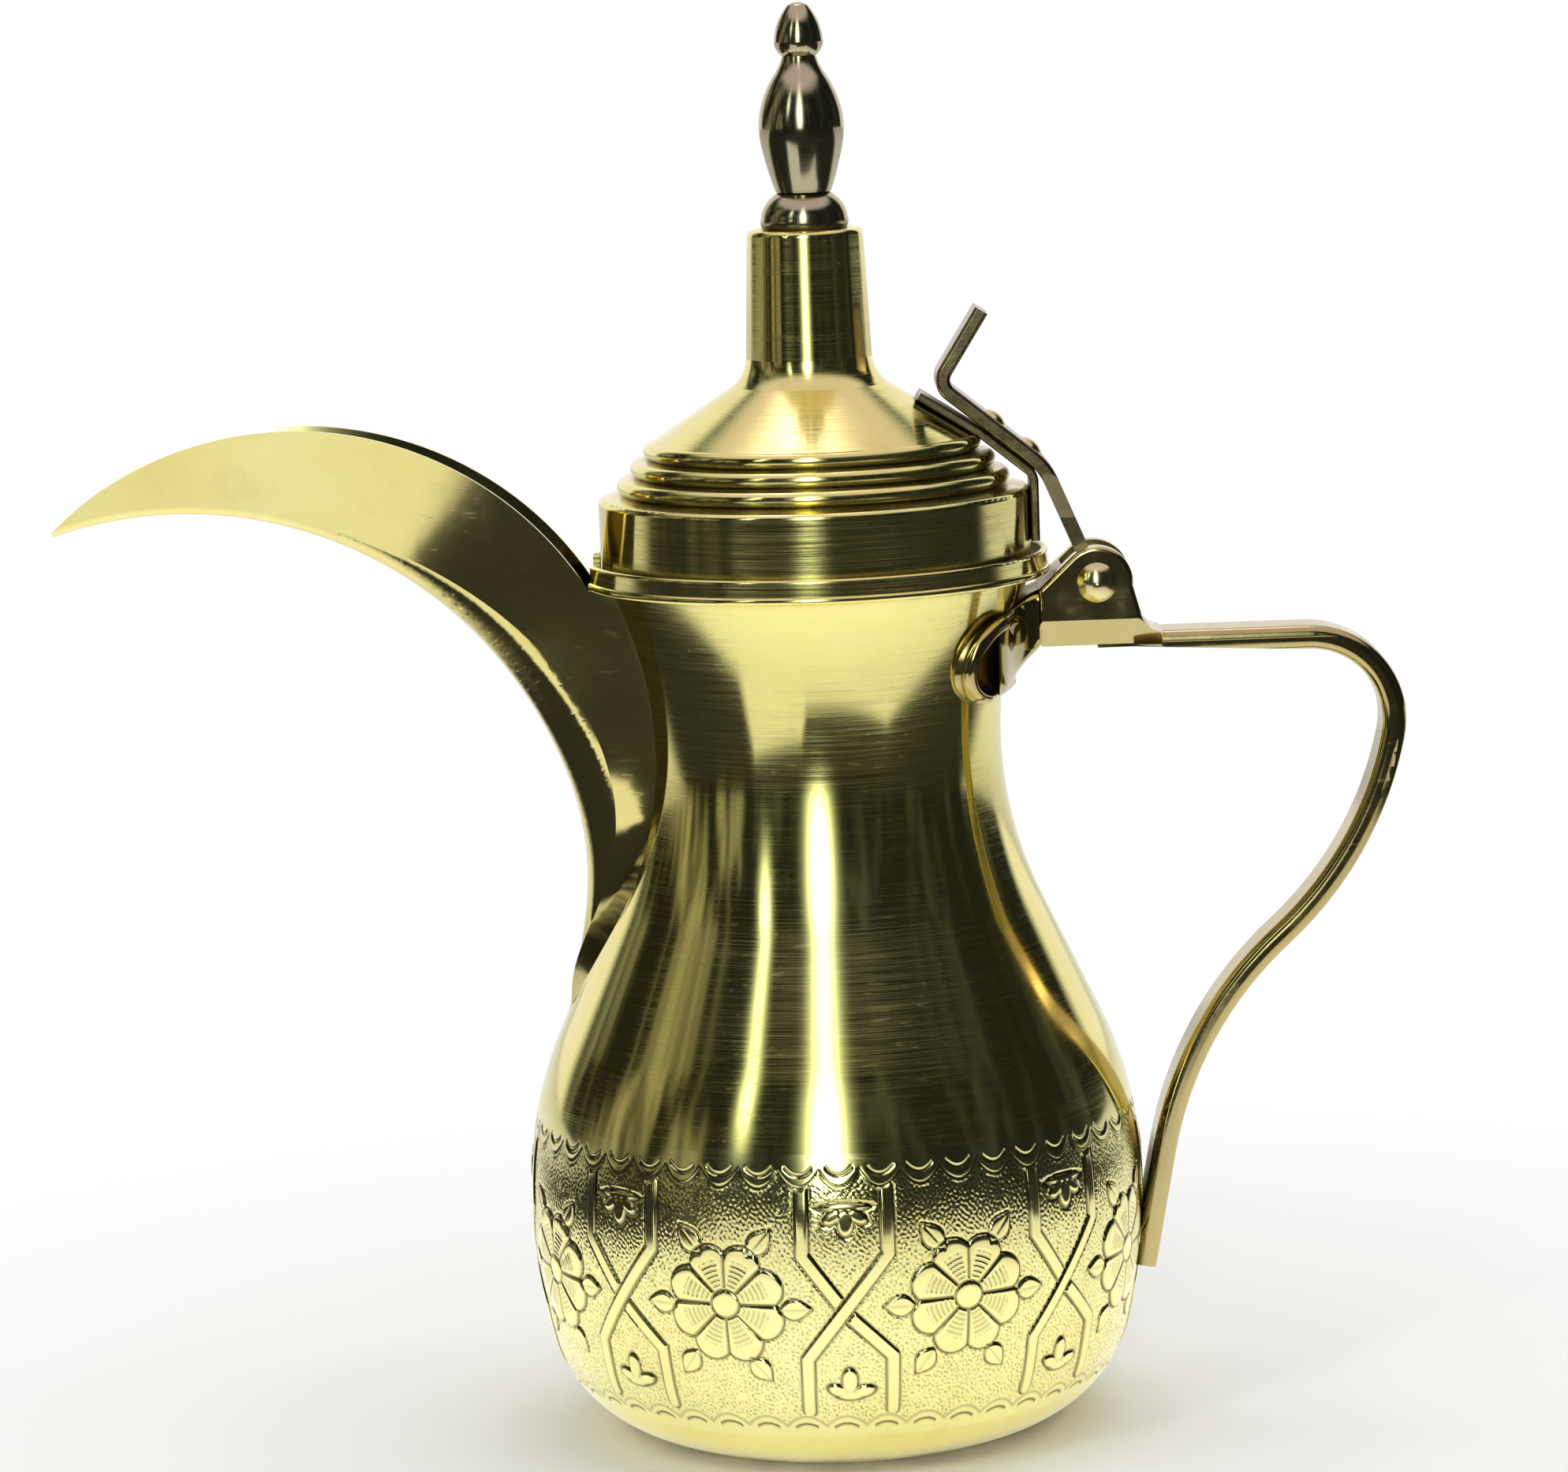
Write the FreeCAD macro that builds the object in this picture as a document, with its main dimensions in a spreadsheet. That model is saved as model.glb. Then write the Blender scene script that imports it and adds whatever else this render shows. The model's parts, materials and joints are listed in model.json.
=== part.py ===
"""Brass dallah: a spun coffee pot with an open crescent spout and a hinged lid.

Millimetres. The pot stands on Z = 0 about the Z axis, the spout points to -X,
the handle and the hinge lie on +X, and the hinge pin runs along Y.
"""
import FreeCAD, Part
import Sketcher
import math
import os
import re
from FreeCAD import Placement, Rotation, Vector

# Driving sizes, one spreadsheet cell each
SIZES = {
    # spun pot: the two sweep shares set how much of the S-curve each arc takes
    "wall": 1.4,
    "waist_radius": 37.6,
    "waist_height": 146.5,
    "neck_share": 0.4594,
    "neck_height": 180.5,
    "belly_radius": 64.9,
    "belly_height": 51.0,
    "shoulder_share": 0.4649,
    "lower_sweep": 130.0,
    "base_round": 28.0,
    "base_seam": 6.3,
    # collar round the mouth
    "collar_overhang": 3.5,
    "collar_bead": 0.8,
    "lip_wall": 1.4,
    "lip_height": 3.6,
    "ledge_thickness": 1.5,
    "ledge_overlap": 1.9,
    # spout
    "spout_wall": 1.3,
    "spout_centre_out": 96.2,
    "spout_centre_drop": 66.5,
    "rim_centre_out": 71.7,
    "rim_centre_drop": 37.7,
    "rim_sweep": 72.5,
    "gate_half": 11.5,
    "gate_drop": 62.5,
    # hinge
    "pin_out": 9.817,
    "pin_drop": 2.3,
    "pin_radius": 2.6,
    "pin_play": 0.06,
    "pin_head_radius": 4.15,
    "pin_head_height": 1.9,
    "ear_radius": 7.5,
    "ear_round": 0.9,
    "knuckle_radius": 6.3,
    "knuckle_width": 9.0,
    "knuckle_play": 0.25,
    "hinge_gap": 0.9,
    # handle
    "seam_in": 2.4,
    "seam_drop": 3.5,
    "seam_height": 12.2,
    "block_width": 18.0,
    "block_heel": 1.5,
    "block_toe": 6.0,
    "block_step": 4.5,
    "block_flare": 2.6,
    "block_flare_height": 5.6,
    "tenon_radius": 3.8,
    "tenon_length": 3.2,
    "tenon_play": 0.05,
    "grip_drop": 13.3,
    "grip_thickness": 5.0,
    "grip_width": 13.0,
    "grip_round": 2.0,
    "grip_root": 3.0,
    "grip_out": 57.6,
    "grip_bend": 20.2,
    "grip_sweep": 80.0,
    "grip_sweep_drop": 12.4,
    "grip_return": 79.0,
    "grip_return_out": 5.7,
    "foot_out": 2.4,
    "foot_z": 31.5,
    # socket saddle on the neck
    "saddle_half": 28.0,
    "saddle_drop": 7.7,
    "saddle_height": 16.8,
    "saddle_plate": 2.6,
    "saddle_round": 1.5,
    "horn_corner": 2.4,
    # lid
    "seat_gap": 0.3,
    "lid_gap": 2.0,
    "lid_wall": 1.4,
    "band_height": 16.2,
    "band_round": 1.1,
    "rib_inset": 4.0,
    "rib_step": 2.9,
    "rib_rise": 3.6,
    "rib_base": 17.0,
    "rib_height": 3.2,
    "rib_depth": 1.2,
    "chimney_foot_radius": 13.1,
    "chimney_foot": 44.3,
    "chimney_radius": 12.1,
    "chimney_height": 70.9,
    "chimney_round": 1.2,
    "chimney_flare": 3.1,
    "chimney_flare_drop": 5.7,
    "crown_thickness": 1.8,
    # finial
    "stud_radius": 2.0,
    "stud_play": 0.05,
    "stud_tail": 7.0,
    "bead_radius": 9.15,
    "bead_top_radius": 5.0,
    "bead_height": 7.6,
    "acorn_foot_radius": 5.7,
    "acorn_radius": 8.85,
    "acorn_belly": 12.8,
    "acorn_neck_radius": 3.5,
    "acorn_height": 28.0,
    "tip_radius": 5.1,
    "tip_height": 11.0,
    "stud_engagement": 6.5,
    "stud_end_gap": 0.5,
    "washer_radius": 4.8,
    "washer_thickness": 0.8,
    "nut_radius": 4.0,
    "nut_height": 3.2,
    # lid lever, strap and rivets
    "thumb_back": 22.3,
    "thumb_rise": 54.8,
    "elbow_back": 31.8,
    "elbow_rise": 39.8,
    "elbow_round": 3.5,
    "knee_back": 10.0,
    "knee_rise": 21.8,
    "knee_round": 14.0,
    "lever_thickness": 3.0,
    "lever_width": 13.0,
    "lever_edge": 0.7,
    "taper_top_rise": 20.5,
    "taper_end_rise": 11.0,
    "strap_thickness": 1.8,
    "strap_width": 12.0,
    "strap_edge": 0.5,
    "strap_gap": 0.25,
    "strap_top_back": 35.8,
    "strap_break_back": 23.0,
    "strap_corner": 3.0,
    "strap_end_rise": 6.5,
    "rivet_radius": 1.5,
    "rivet_head_radius": 2.9,
    "rivet_head_height": 1.2,
    "rivet_tail": 2.7,
    "rivet_first": 14.2,
    "rivet_pitch": 9.5,
}

# Spout stations round the keel's centre: angle in degrees, keel radius, leg depth,
# half-width at the leg's end, keel rounding
STATIONS = {
    "a": (-17.0, 82.0, 10.0, 14.0, 5.0),
    "b": (-5.0, 82.3, 12.0, 22.0, 6.0),
    "c": (8.0, 84.0, 20.0, 17.5, 12.0),
    "d": (24.0, 84.2, 28.0, 15.2, 12.0),
    "e": (40.0, 84.2, 28.0, 12.6, 9.5),
    "f": (58.0, 84.2, 28.0, 9.6, 5.0),
    "g": (76.0, 84.2, 26.0, 7.6, 2.5),
    "h": (93.0, 84.2, 18.0, 6.0, 2.2),
    "i": (107.5, 84.2, 10.0, 4.0, 1.8),
}
for letter, station in STATIONS.items():
    for part, number in zip(("angle", "keel", "depth", "half", "round"), station):
        SIZES[f"spout_{letter}_{part}"] = number

# Places that follow from the sizes: what is fixed to the neck's top moves with it
PLACES = {
    "swell": "belly_radius - waist_radius",
    "curve_room": "(swell^2 + (waist_height - belly_height)^2) / (2 * swell)",
    "neck_sweep": "neck_share * curve_room",
    "shoulder_sweep": "shoulder_share * curve_room",
    "neck_top_radius": "waist_radius + neck_sweep - sqrt(neck_sweep^2 - (neck_height - waist_height)^2)",
    "flat_radius": "belly_radius - lower_sweep"
        " + sqrt((lower_sweep - base_round)^2 - (belly_height - base_round)^2)",
    "base_disc_radius": "flat_radius - base_seam",
    "collar_radius": "neck_top_radius + collar_overhang",
    "mouth_radius": "neck_top_radius - ledge_overlap",
    "spout_centre_x": "-(waist_radius + spout_centre_out)",
    "spout_centre_z": "neck_height - spout_centre_drop",
    "rim_centre_x": "-(waist_radius + rim_centre_out)",
    "rim_centre_z": "neck_height - rim_centre_drop",
    "gate_floor": "neck_height - gate_drop",
    "pin_x": "collar_radius + pin_out",
    "pin_z": "neck_height - pin_drop",
    "seam_x": "collar_radius - seam_in",
    "seam_top": "neck_height - seam_drop",
    "seam_bottom": "seam_top - seam_height",
    "grip_top": "neck_height - grip_drop",
    "grip_reach": "belly_radius + grip_out",
    "grip_return_x": "belly_radius + grip_return_out",
    "foot_x": "belly_radius + foot_out",
    "saddle_top": "neck_height - saddle_drop",
    "saddle_bottom": "saddle_top - saddle_height",
    "lid_radius": "collar_radius - lip_wall - lid_gap",
    "rib_radius": "lid_radius - rib_inset",
    "thumb_x": "pin_x - thumb_back",
    "thumb_z": "neck_height + thumb_rise",
    "elbow_x": "pin_x - elbow_back",
    "elbow_z": "neck_height + elbow_rise",
    "knee_x": "pin_x - knee_back",
    "knee_z": "neck_height + knee_rise",
    "lever_taper_top": "neck_height + taper_top_rise",
    "lever_taper_end": "neck_height + taper_end_rise",
    "strap_top_x": "pin_x - strap_top_back",
    "strap_break_x": "pin_x - strap_break_back",
    "strap_end": "neck_height + strap_end_rise",
}

doc = FreeCAD.newDocument("dallah")
sheet = doc.addObject("Spreadsheet::Sheet", "dims")
for row, (name, number) in enumerate(SIZES.items(), start=1):
    sheet.set(f"A{row}", name)
    sheet.set(f"B{row}", str(number))
    sheet.setAlias(f"B{row}", name)
for row, (name, formula) in enumerate(PLACES.items(), start=len(SIZES) + 1):
    sheet.set(f"A{row}", name)
    sheet.set(f"B{row}", f"={formula}")
    sheet.setAlias(f"B{row}", name)
doc.recompute()
NAMES = {*SIZES, *PLACES}


def bind(text):
    """A formula in size names, as an expression on the spreadsheet's cells."""
    return re.sub(r"[a-z_]\w*", lambda m: "dims." + m[0] if m[0] in NAMES else m[0], text)


def size(text):
    """The present value of a formula in size names."""
    result = sheet.evalExpression(bind(text))
    return float(getattr(result, "Value", result))


def new_body(label):
    body = doc.addObject("PartDesign::Body", label)
    body.Label = label
    return body


def new_sketch(body, name, role="XZ_Plane"):
    sketch = body.newObject("Sketcher::SketchObject", f"{body.Name}_{name}")
    plane = next(f for f in body.Origin.OriginFeatures if f.Role == role)
    sketch.AttachmentSupport = [(plane, "")]
    sketch.MapMode = "FlatFace"
    return sketch


def tie(sketch, kind, text, *where):
    """Add a dimension that follows a formula."""
    index = sketch.addConstraint(Sketcher.Constraint(kind, *where, size(text)))
    sketch.setExpression(f"Constraints[{index}]", bind(text))


def hold(sketch, geo, end, x, y):
    """Hold one sketch point at a formula place; None leaves a coordinate free."""
    if x == "0":
        sketch.addConstraint(Sketcher.Constraint("PointOnObject", geo, end, -2))
    elif x is not None:
        tie(sketch, "DistanceX", x, -1, 1, geo, end)
    if y == "0":
        sketch.addConstraint(Sketcher.Constraint("PointOnObject", geo, end, -1))
    elif y is not None:
        tie(sketch, "DistanceY", y, -1, 1, geo, end)


def add_line(sketch, start, finish):
    return sketch.addGeometry(Part.LineSegment(Vector(*start, 0), Vector(*finish, 0)), False)


def add_arc(sketch, start, via, finish):
    """Three-point arc; returns the curve and which of its ends is which."""
    places = [Vector(*p, 0) for p in (start, via, finish)]
    geo = sketch.addGeometry(Part.Arc(*places), False)
    forward = sketch.getPoint(geo, 1).distanceToPoint(places[0]) < 1e-4
    return geo, (1, 2) if forward else (2, 1)


def outline(sketch, points):
    """Closed outline: (x, y) ends a line, (x, y, via_x, via_y) ends an arc."""
    runs = []
    for before, point in zip(points[-1:] + points[:-1], points):
        start = [size(t) for t in before[:2]]
        finish = [size(t) for t in point[:2]]
        if len(point) == 2:
            runs.append((add_line(sketch, start, finish), (1, 2)))
            continue
        via = [size(t) for t in point[2:]]
        geo, ends = add_arc(sketch, start, via, finish)
        mark = sketch.addGeometry(Part.Point(Vector(*via, 0)), True)
        sketch.addConstraint(Sketcher.Constraint("PointOnObject", mark, 1, geo))
        hold(sketch, mark, 1, *point[2:])
        runs.append((geo, ends))
    for (geo, ends), (after, after_ends), point in zip(runs, runs[1:] + runs[:1], points):
        sketch.addConstraint(Sketcher.Constraint("Coincident", geo, ends[1], after, after_ends[0]))
        hold(sketch, geo, ends[1], *point[:2])


def circle(sketch, x, y, radius):
    geo = sketch.addGeometry(Part.Circle(Vector(size(x), size(y), 0), Vector(0, 0, 1), size(radius)), False)
    hold(sketch, geo, 3, x, y)
    tie(sketch, "Radius", radius, geo)


def feature(body, kind, name, profile, **values):
    """A PartDesign feature; text values are formulas, the rest are set as given."""
    made = body.newObject(f"PartDesign::{kind}", f"{body.Name}_{name}")
    made.Profile = profile
    for key, given in values.items():
        if key in ("Length", "Angle") and isinstance(given, str):
            made.setExpression(key, bind(given))
        else:
            setattr(made, key, given)
    doc.recompute()
    return made


def revolve(body, sketch, name="turned", kind="Revolution"):
    return feature(body, kind, name, sketch, ReferenceAxis=(sketch, ["V_Axis"]))


def cut_through(body, sketch, name):
    """Cut to both sides of the sketch, right through the piece."""
    return feature(body, "Pocket", name, sketch, SideType="Symmetric", Type="ThroughAll")


def soften(body, name, radius, test):
    """Round the edges whose two ends both pass the test."""
    last = body.Tip
    edges = []
    for n, edge in enumerate(last.Shape.Edges, start=1):
        if all(test(v.Point) for v in edge.Vertexes):
            edges.append(f"Edge{n}")
    soft = body.newObject("PartDesign::Fillet", f"{body.Name}_{name}")
    soft.Base = (last, edges)
    soft.setExpression("Radius", bind(radius))
    doc.recompute()


def dome(radius, base, height, side=1):
    """End and middle of a spherical cap's outline, from its rim in to the axis."""
    ball = f"(({radius})^2 + ({height})^2) / (2 * ({height}))"
    middle = f"({height}) - {ball} + sqrt(({ball})^2 - ({radius})^2 / 4)"
    sign = "+" if side > 0 else "-"
    peak = f"{base} {sign} ({height})"
    return ("0", peak), (f"({radius}) / 2", f"{base} {sign} ({middle})")


def lift(body, text):
    """Stand a piece at its height on the pot's axis."""
    body.setExpression("Placement.Base.z", bind(text))


# Outline of the spun pot
def pot_outline(sketch, inset, foot):
    """One face of the pot wall from the neck's top to the base; returns its two ends."""
    d = size(inset)
    neck_c = (size("waist_radius + neck_sweep"), size("waist_height"))
    neck_r = size("neck_sweep") + d
    belly_c = (size("belly_radius - shoulder_sweep"), size("belly_height"))
    belly_r = size("shoulder_sweep") - d
    lower_c = (size("belly_radius - lower_sweep"), size("belly_height"))
    corner_r = size("base_round") - d
    reach = size("lower_sweep - base_round")
    fall = size("belly_height - base_round")
    corner_c = (lower_c[0] + math.sqrt(reach**2 - fall**2), size("base_round"))
    apart = (neck_c[0] - belly_c[0], neck_c[1] - belly_c[1])
    slope = math.atan2(apart[1], apart[0]) - math.acos((neck_r + belly_r) / math.hypot(*apart))

    def at(centre, radius, angle):
        return centre[0] + radius * math.cos(angle), centre[1] + radius * math.sin(angle)

    rise = math.asin((size("neck_height") - neck_c[1]) / neck_r)
    tuck = math.atan2(-fall, math.sqrt(reach**2 - fall**2))
    top = at(neck_c, neck_r, math.pi - rise)
    hip = at(neck_c, neck_r, math.pi + slope)
    shoulder = at(belly_c, belly_r, slope)
    belly = (size("belly_radius") - d, size("belly_height"))
    turn = at(corner_c, corner_r, tuck)
    neck, neck_ends = add_arc(sketch, top, at(neck_c, neck_r, math.pi), hip)
    line = add_line(sketch, hip, shoulder)
    upper, upper_ends = add_arc(sketch, shoulder, at(belly_c, belly_r, slope / 2), belly)
    lower, lower_ends = add_arc(sketch, belly, at(lower_c, size("lower_sweep") - d, tuck / 2), turn)
    bottom = (corner_c[0], d)
    middle = at(corner_c, corner_r, (tuck - math.pi / 2) / 2)
    corner, corner_ends = add_arc(sketch, turn, middle, bottom)
    base = add_line(sketch, bottom, (size(foot), d))

    def smooth(geo, end, after, start):
        sketch.addConstraint(Sketcher.Constraint("Tangent", geo, end, after, start))

    hold(sketch, neck, 3, "waist_radius + neck_sweep", "waist_height")
    tie(sketch, "Radius", f"neck_sweep + {inset}", neck)
    hold(sketch, neck, neck_ends[0], None, "neck_height")
    smooth(neck, neck_ends[1], line, 1)
    smooth(line, 2, upper, upper_ends[0])
    hold(sketch, upper, 3, "belly_radius - shoulder_sweep", "belly_height")
    hold(sketch, upper, upper_ends[1], f"belly_radius - {inset}", "belly_height")
    hold(sketch, lower, 3, "belly_radius - lower_sweep", "belly_height")
    sketch.addConstraint(Sketcher.Constraint("Coincident", upper, upper_ends[1], lower, lower_ends[0]))
    smooth(lower, lower_ends[1], corner, corner_ends[0])
    tie(sketch, "Radius", f"base_round - {inset}", corner)
    smooth(corner, corner_ends[1], base, 1)
    sketch.addConstraint(Sketcher.Constraint("Horizontal", base))
    hold(sketch, base, 2, foot, inset)
    return (neck, neck_ends[0]), (base, 2)


def join(sketch, first, second):
    """A straight run between two open ends."""
    start = sketch.getPoint(*first)
    finish = sketch.getPoint(*second)
    geo = sketch.addGeometry(Part.LineSegment(start, finish), False)
    sketch.addConstraint(Sketcher.Constraint("Coincident", geo, 1, *first))
    sketch.addConstraint(Sketcher.Constraint("Coincident", geo, 2, *second))
    return geo


def fit_to_pot(body):
    """Trim a piece to the outer face of the pot, where it is brazed on."""
    sketch = new_sketch(body, "pot_face")
    top, base = pot_outline(sketch, "0", "0")
    peak = sketch.getPoint(*top)
    lid = sketch.addGeometry(Part.LineSegment(peak, Vector(0, peak.y, 0)), False)
    sketch.addConstraint(Sketcher.Constraint("Coincident", lid, 1, *top))
    sketch.addConstraint(Sketcher.Constraint("Horizontal", lid))
    sketch.addConstraint(Sketcher.Constraint("PointOnObject", lid, 2, -2))
    join(sketch, (lid, 2), base)
    revolve(body, sketch, "pot_fit", "Groove")


# Spun pot with the gate behind the spout
def make_body_shell():
    body = new_body("body_shell")
    sketch = new_sketch(body, "wall")
    outer = pot_outline(sketch, "0", "base_disc_radius")
    inner = pot_outline(sketch, "wall", "base_disc_radius")
    join(sketch, outer[0], inner[0])
    join(sketch, outer[1], inner[1])
    revolve(body, sketch)
    cut_gate(body)


def cut_gate(body):
    """The round-bottomed gate that lets coffee into the spout."""
    sketch = new_sketch(body, "gate", "YZ_Plane")
    spring = "gate_floor + gate_half"
    above = "neck_height + ledge_thickness + lip_height + 1"
    outline(sketch, [
        ("-gate_half", spring),
        ("gate_half", spring, "0", "gate_floor"),
        ("gate_half", above),
        ("-gate_half", above),
    ])
    feature(body, "Pocket", "gate_cut", sketch, Type="ThroughAll")


def make_base_plate():
    body = new_body("base_plate")
    sketch = new_sketch(body, "disc", "XY_Plane")
    circle(sketch, "0", "0", "base_disc_radius")
    feature(body, "Pad", "disc_pad", sketch, Length="wall")


# Collar: a ledge for the lid inside a thin lip, open at the spout
def make_neck_collar():
    body = new_body("neck_collar")
    sketch = new_sketch(body, "ring")
    base = "neck_height"
    ledge = "neck_height + ledge_thickness"
    top = "neck_height + ledge_thickness + lip_height"
    outline(sketch, [
        ("mouth_radius", base),
        ("collar_radius", base),
        (
            "collar_radius", f"{base} + 2 * collar_bead",
            "collar_radius + collar_bead * 0.7", f"{base} + collar_bead",
        ),
        ("collar_radius", f"{top} - lip_wall / 2"),
        ("collar_radius - lip_wall", f"{top} - lip_wall / 2", "collar_radius - lip_wall / 2", top),
        ("collar_radius - lip_wall", ledge),
        ("mouth_radius", ledge),
    ])
    revolve(body, sketch)
    cut_gate(body)


# Spout: keel-rounded sections round the keel's centre, then the rim cut as one arc
def spout_section(body, letter):
    sketch = new_sketch(body, f"station_{letter}", "YZ_Plane")
    turn = f"spout_{letter}_angle"
    x, z = size("spout_centre_x"), size("spout_centre_z")
    sketch.AttachmentOffset = Placement(Vector(0, z, x), Rotation(Vector(1, 0, 0), 90 - size(turn)))
    sketch.setExpression("AttachmentOffset.Base.y", bind("spout_centre_z"))
    sketch.setExpression("AttachmentOffset.Base.z", bind("spout_centre_x"))
    sketch.setExpression("AttachmentOffset.Rotation.Angle", bind(f"(90 - {turn}) * 1 deg"))
    keel, depth, half, round_ = (f"spout_{letter}_{p}" for p in ("keel", "depth", "half", "round"))
    centre = f"{keel} + {round_}"
    end = f"{keel} + {depth}"
    drop = size(depth) - size(round_)
    apart = math.hypot(size(half), drop)
    lean = math.atan2(size(half), drop) - math.asin(size(round_) / apart)
    faces = []
    for radius, inset in ((round_, 0.0), (f"{round_} - spout_wall", size("spout_wall") / math.cos(lean))):
        r = size(radius)
        side = (r * math.cos(lean), size(centre) - r * math.sin(lean))
        tip = (size(half) - inset, size(end))
        left = add_line(sketch, (-tip[0], tip[1]), (-side[0], side[1]))
        arc, ends = add_arc(sketch, (-side[0], side[1]), (0, size(centre) - r), side)
        right = add_line(sketch, side, tip)
        sketch.addConstraint(Sketcher.Constraint("Tangent", left, 2, arc, ends[0]))
        sketch.addConstraint(Sketcher.Constraint("Tangent", arc, ends[1], right, 1))
        hold(sketch, arc, 3, "0", centre)
        tie(sketch, "Radius", radius, arc)
        faces.append((left, right))
    (left, right), (inner_left, inner_right) = faces
    hold(sketch, left, 1, f"-{half}", end)
    hold(sketch, right, 2, half, end)
    hold(sketch, inner_left, 1, None, end)
    hold(sketch, inner_right, 2, None, end)
    sketch.addConstraint(Sketcher.Constraint("Parallel", left, inner_left))
    sketch.addConstraint(Sketcher.Constraint("Parallel", right, inner_right))
    join(sketch, (left, 1), (inner_left, 1))
    join(sketch, (right, 2), (inner_right, 2))
    return sketch


def make_spout():
    body = new_body("spout")
    sections = [spout_section(body, letter) for letter in STATIONS]
    feature(body, "AdditiveLoft", "trough", sections[0], Sections=sections[1:])
    rim = new_sketch(body, "rim")
    reach = "sqrt(rim_sweep^2 - (neck_height - rim_centre_z)^2)"
    above = "rim_centre_z + rim_sweep + 20"
    outline(rim, [
        (f"rim_centre_x - {reach}", "neck_height"),
        (f"rim_centre_x + {reach}", "neck_height", "rim_centre_x", "rim_centre_z + rim_sweep"),
        ("-gate_half", "neck_height"),
        ("-gate_half", above),
        (f"rim_centre_x - {reach}", above),
    ])
    cut_through(body, rim, "rim_cut")
    fit_to_pot(body)


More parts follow.
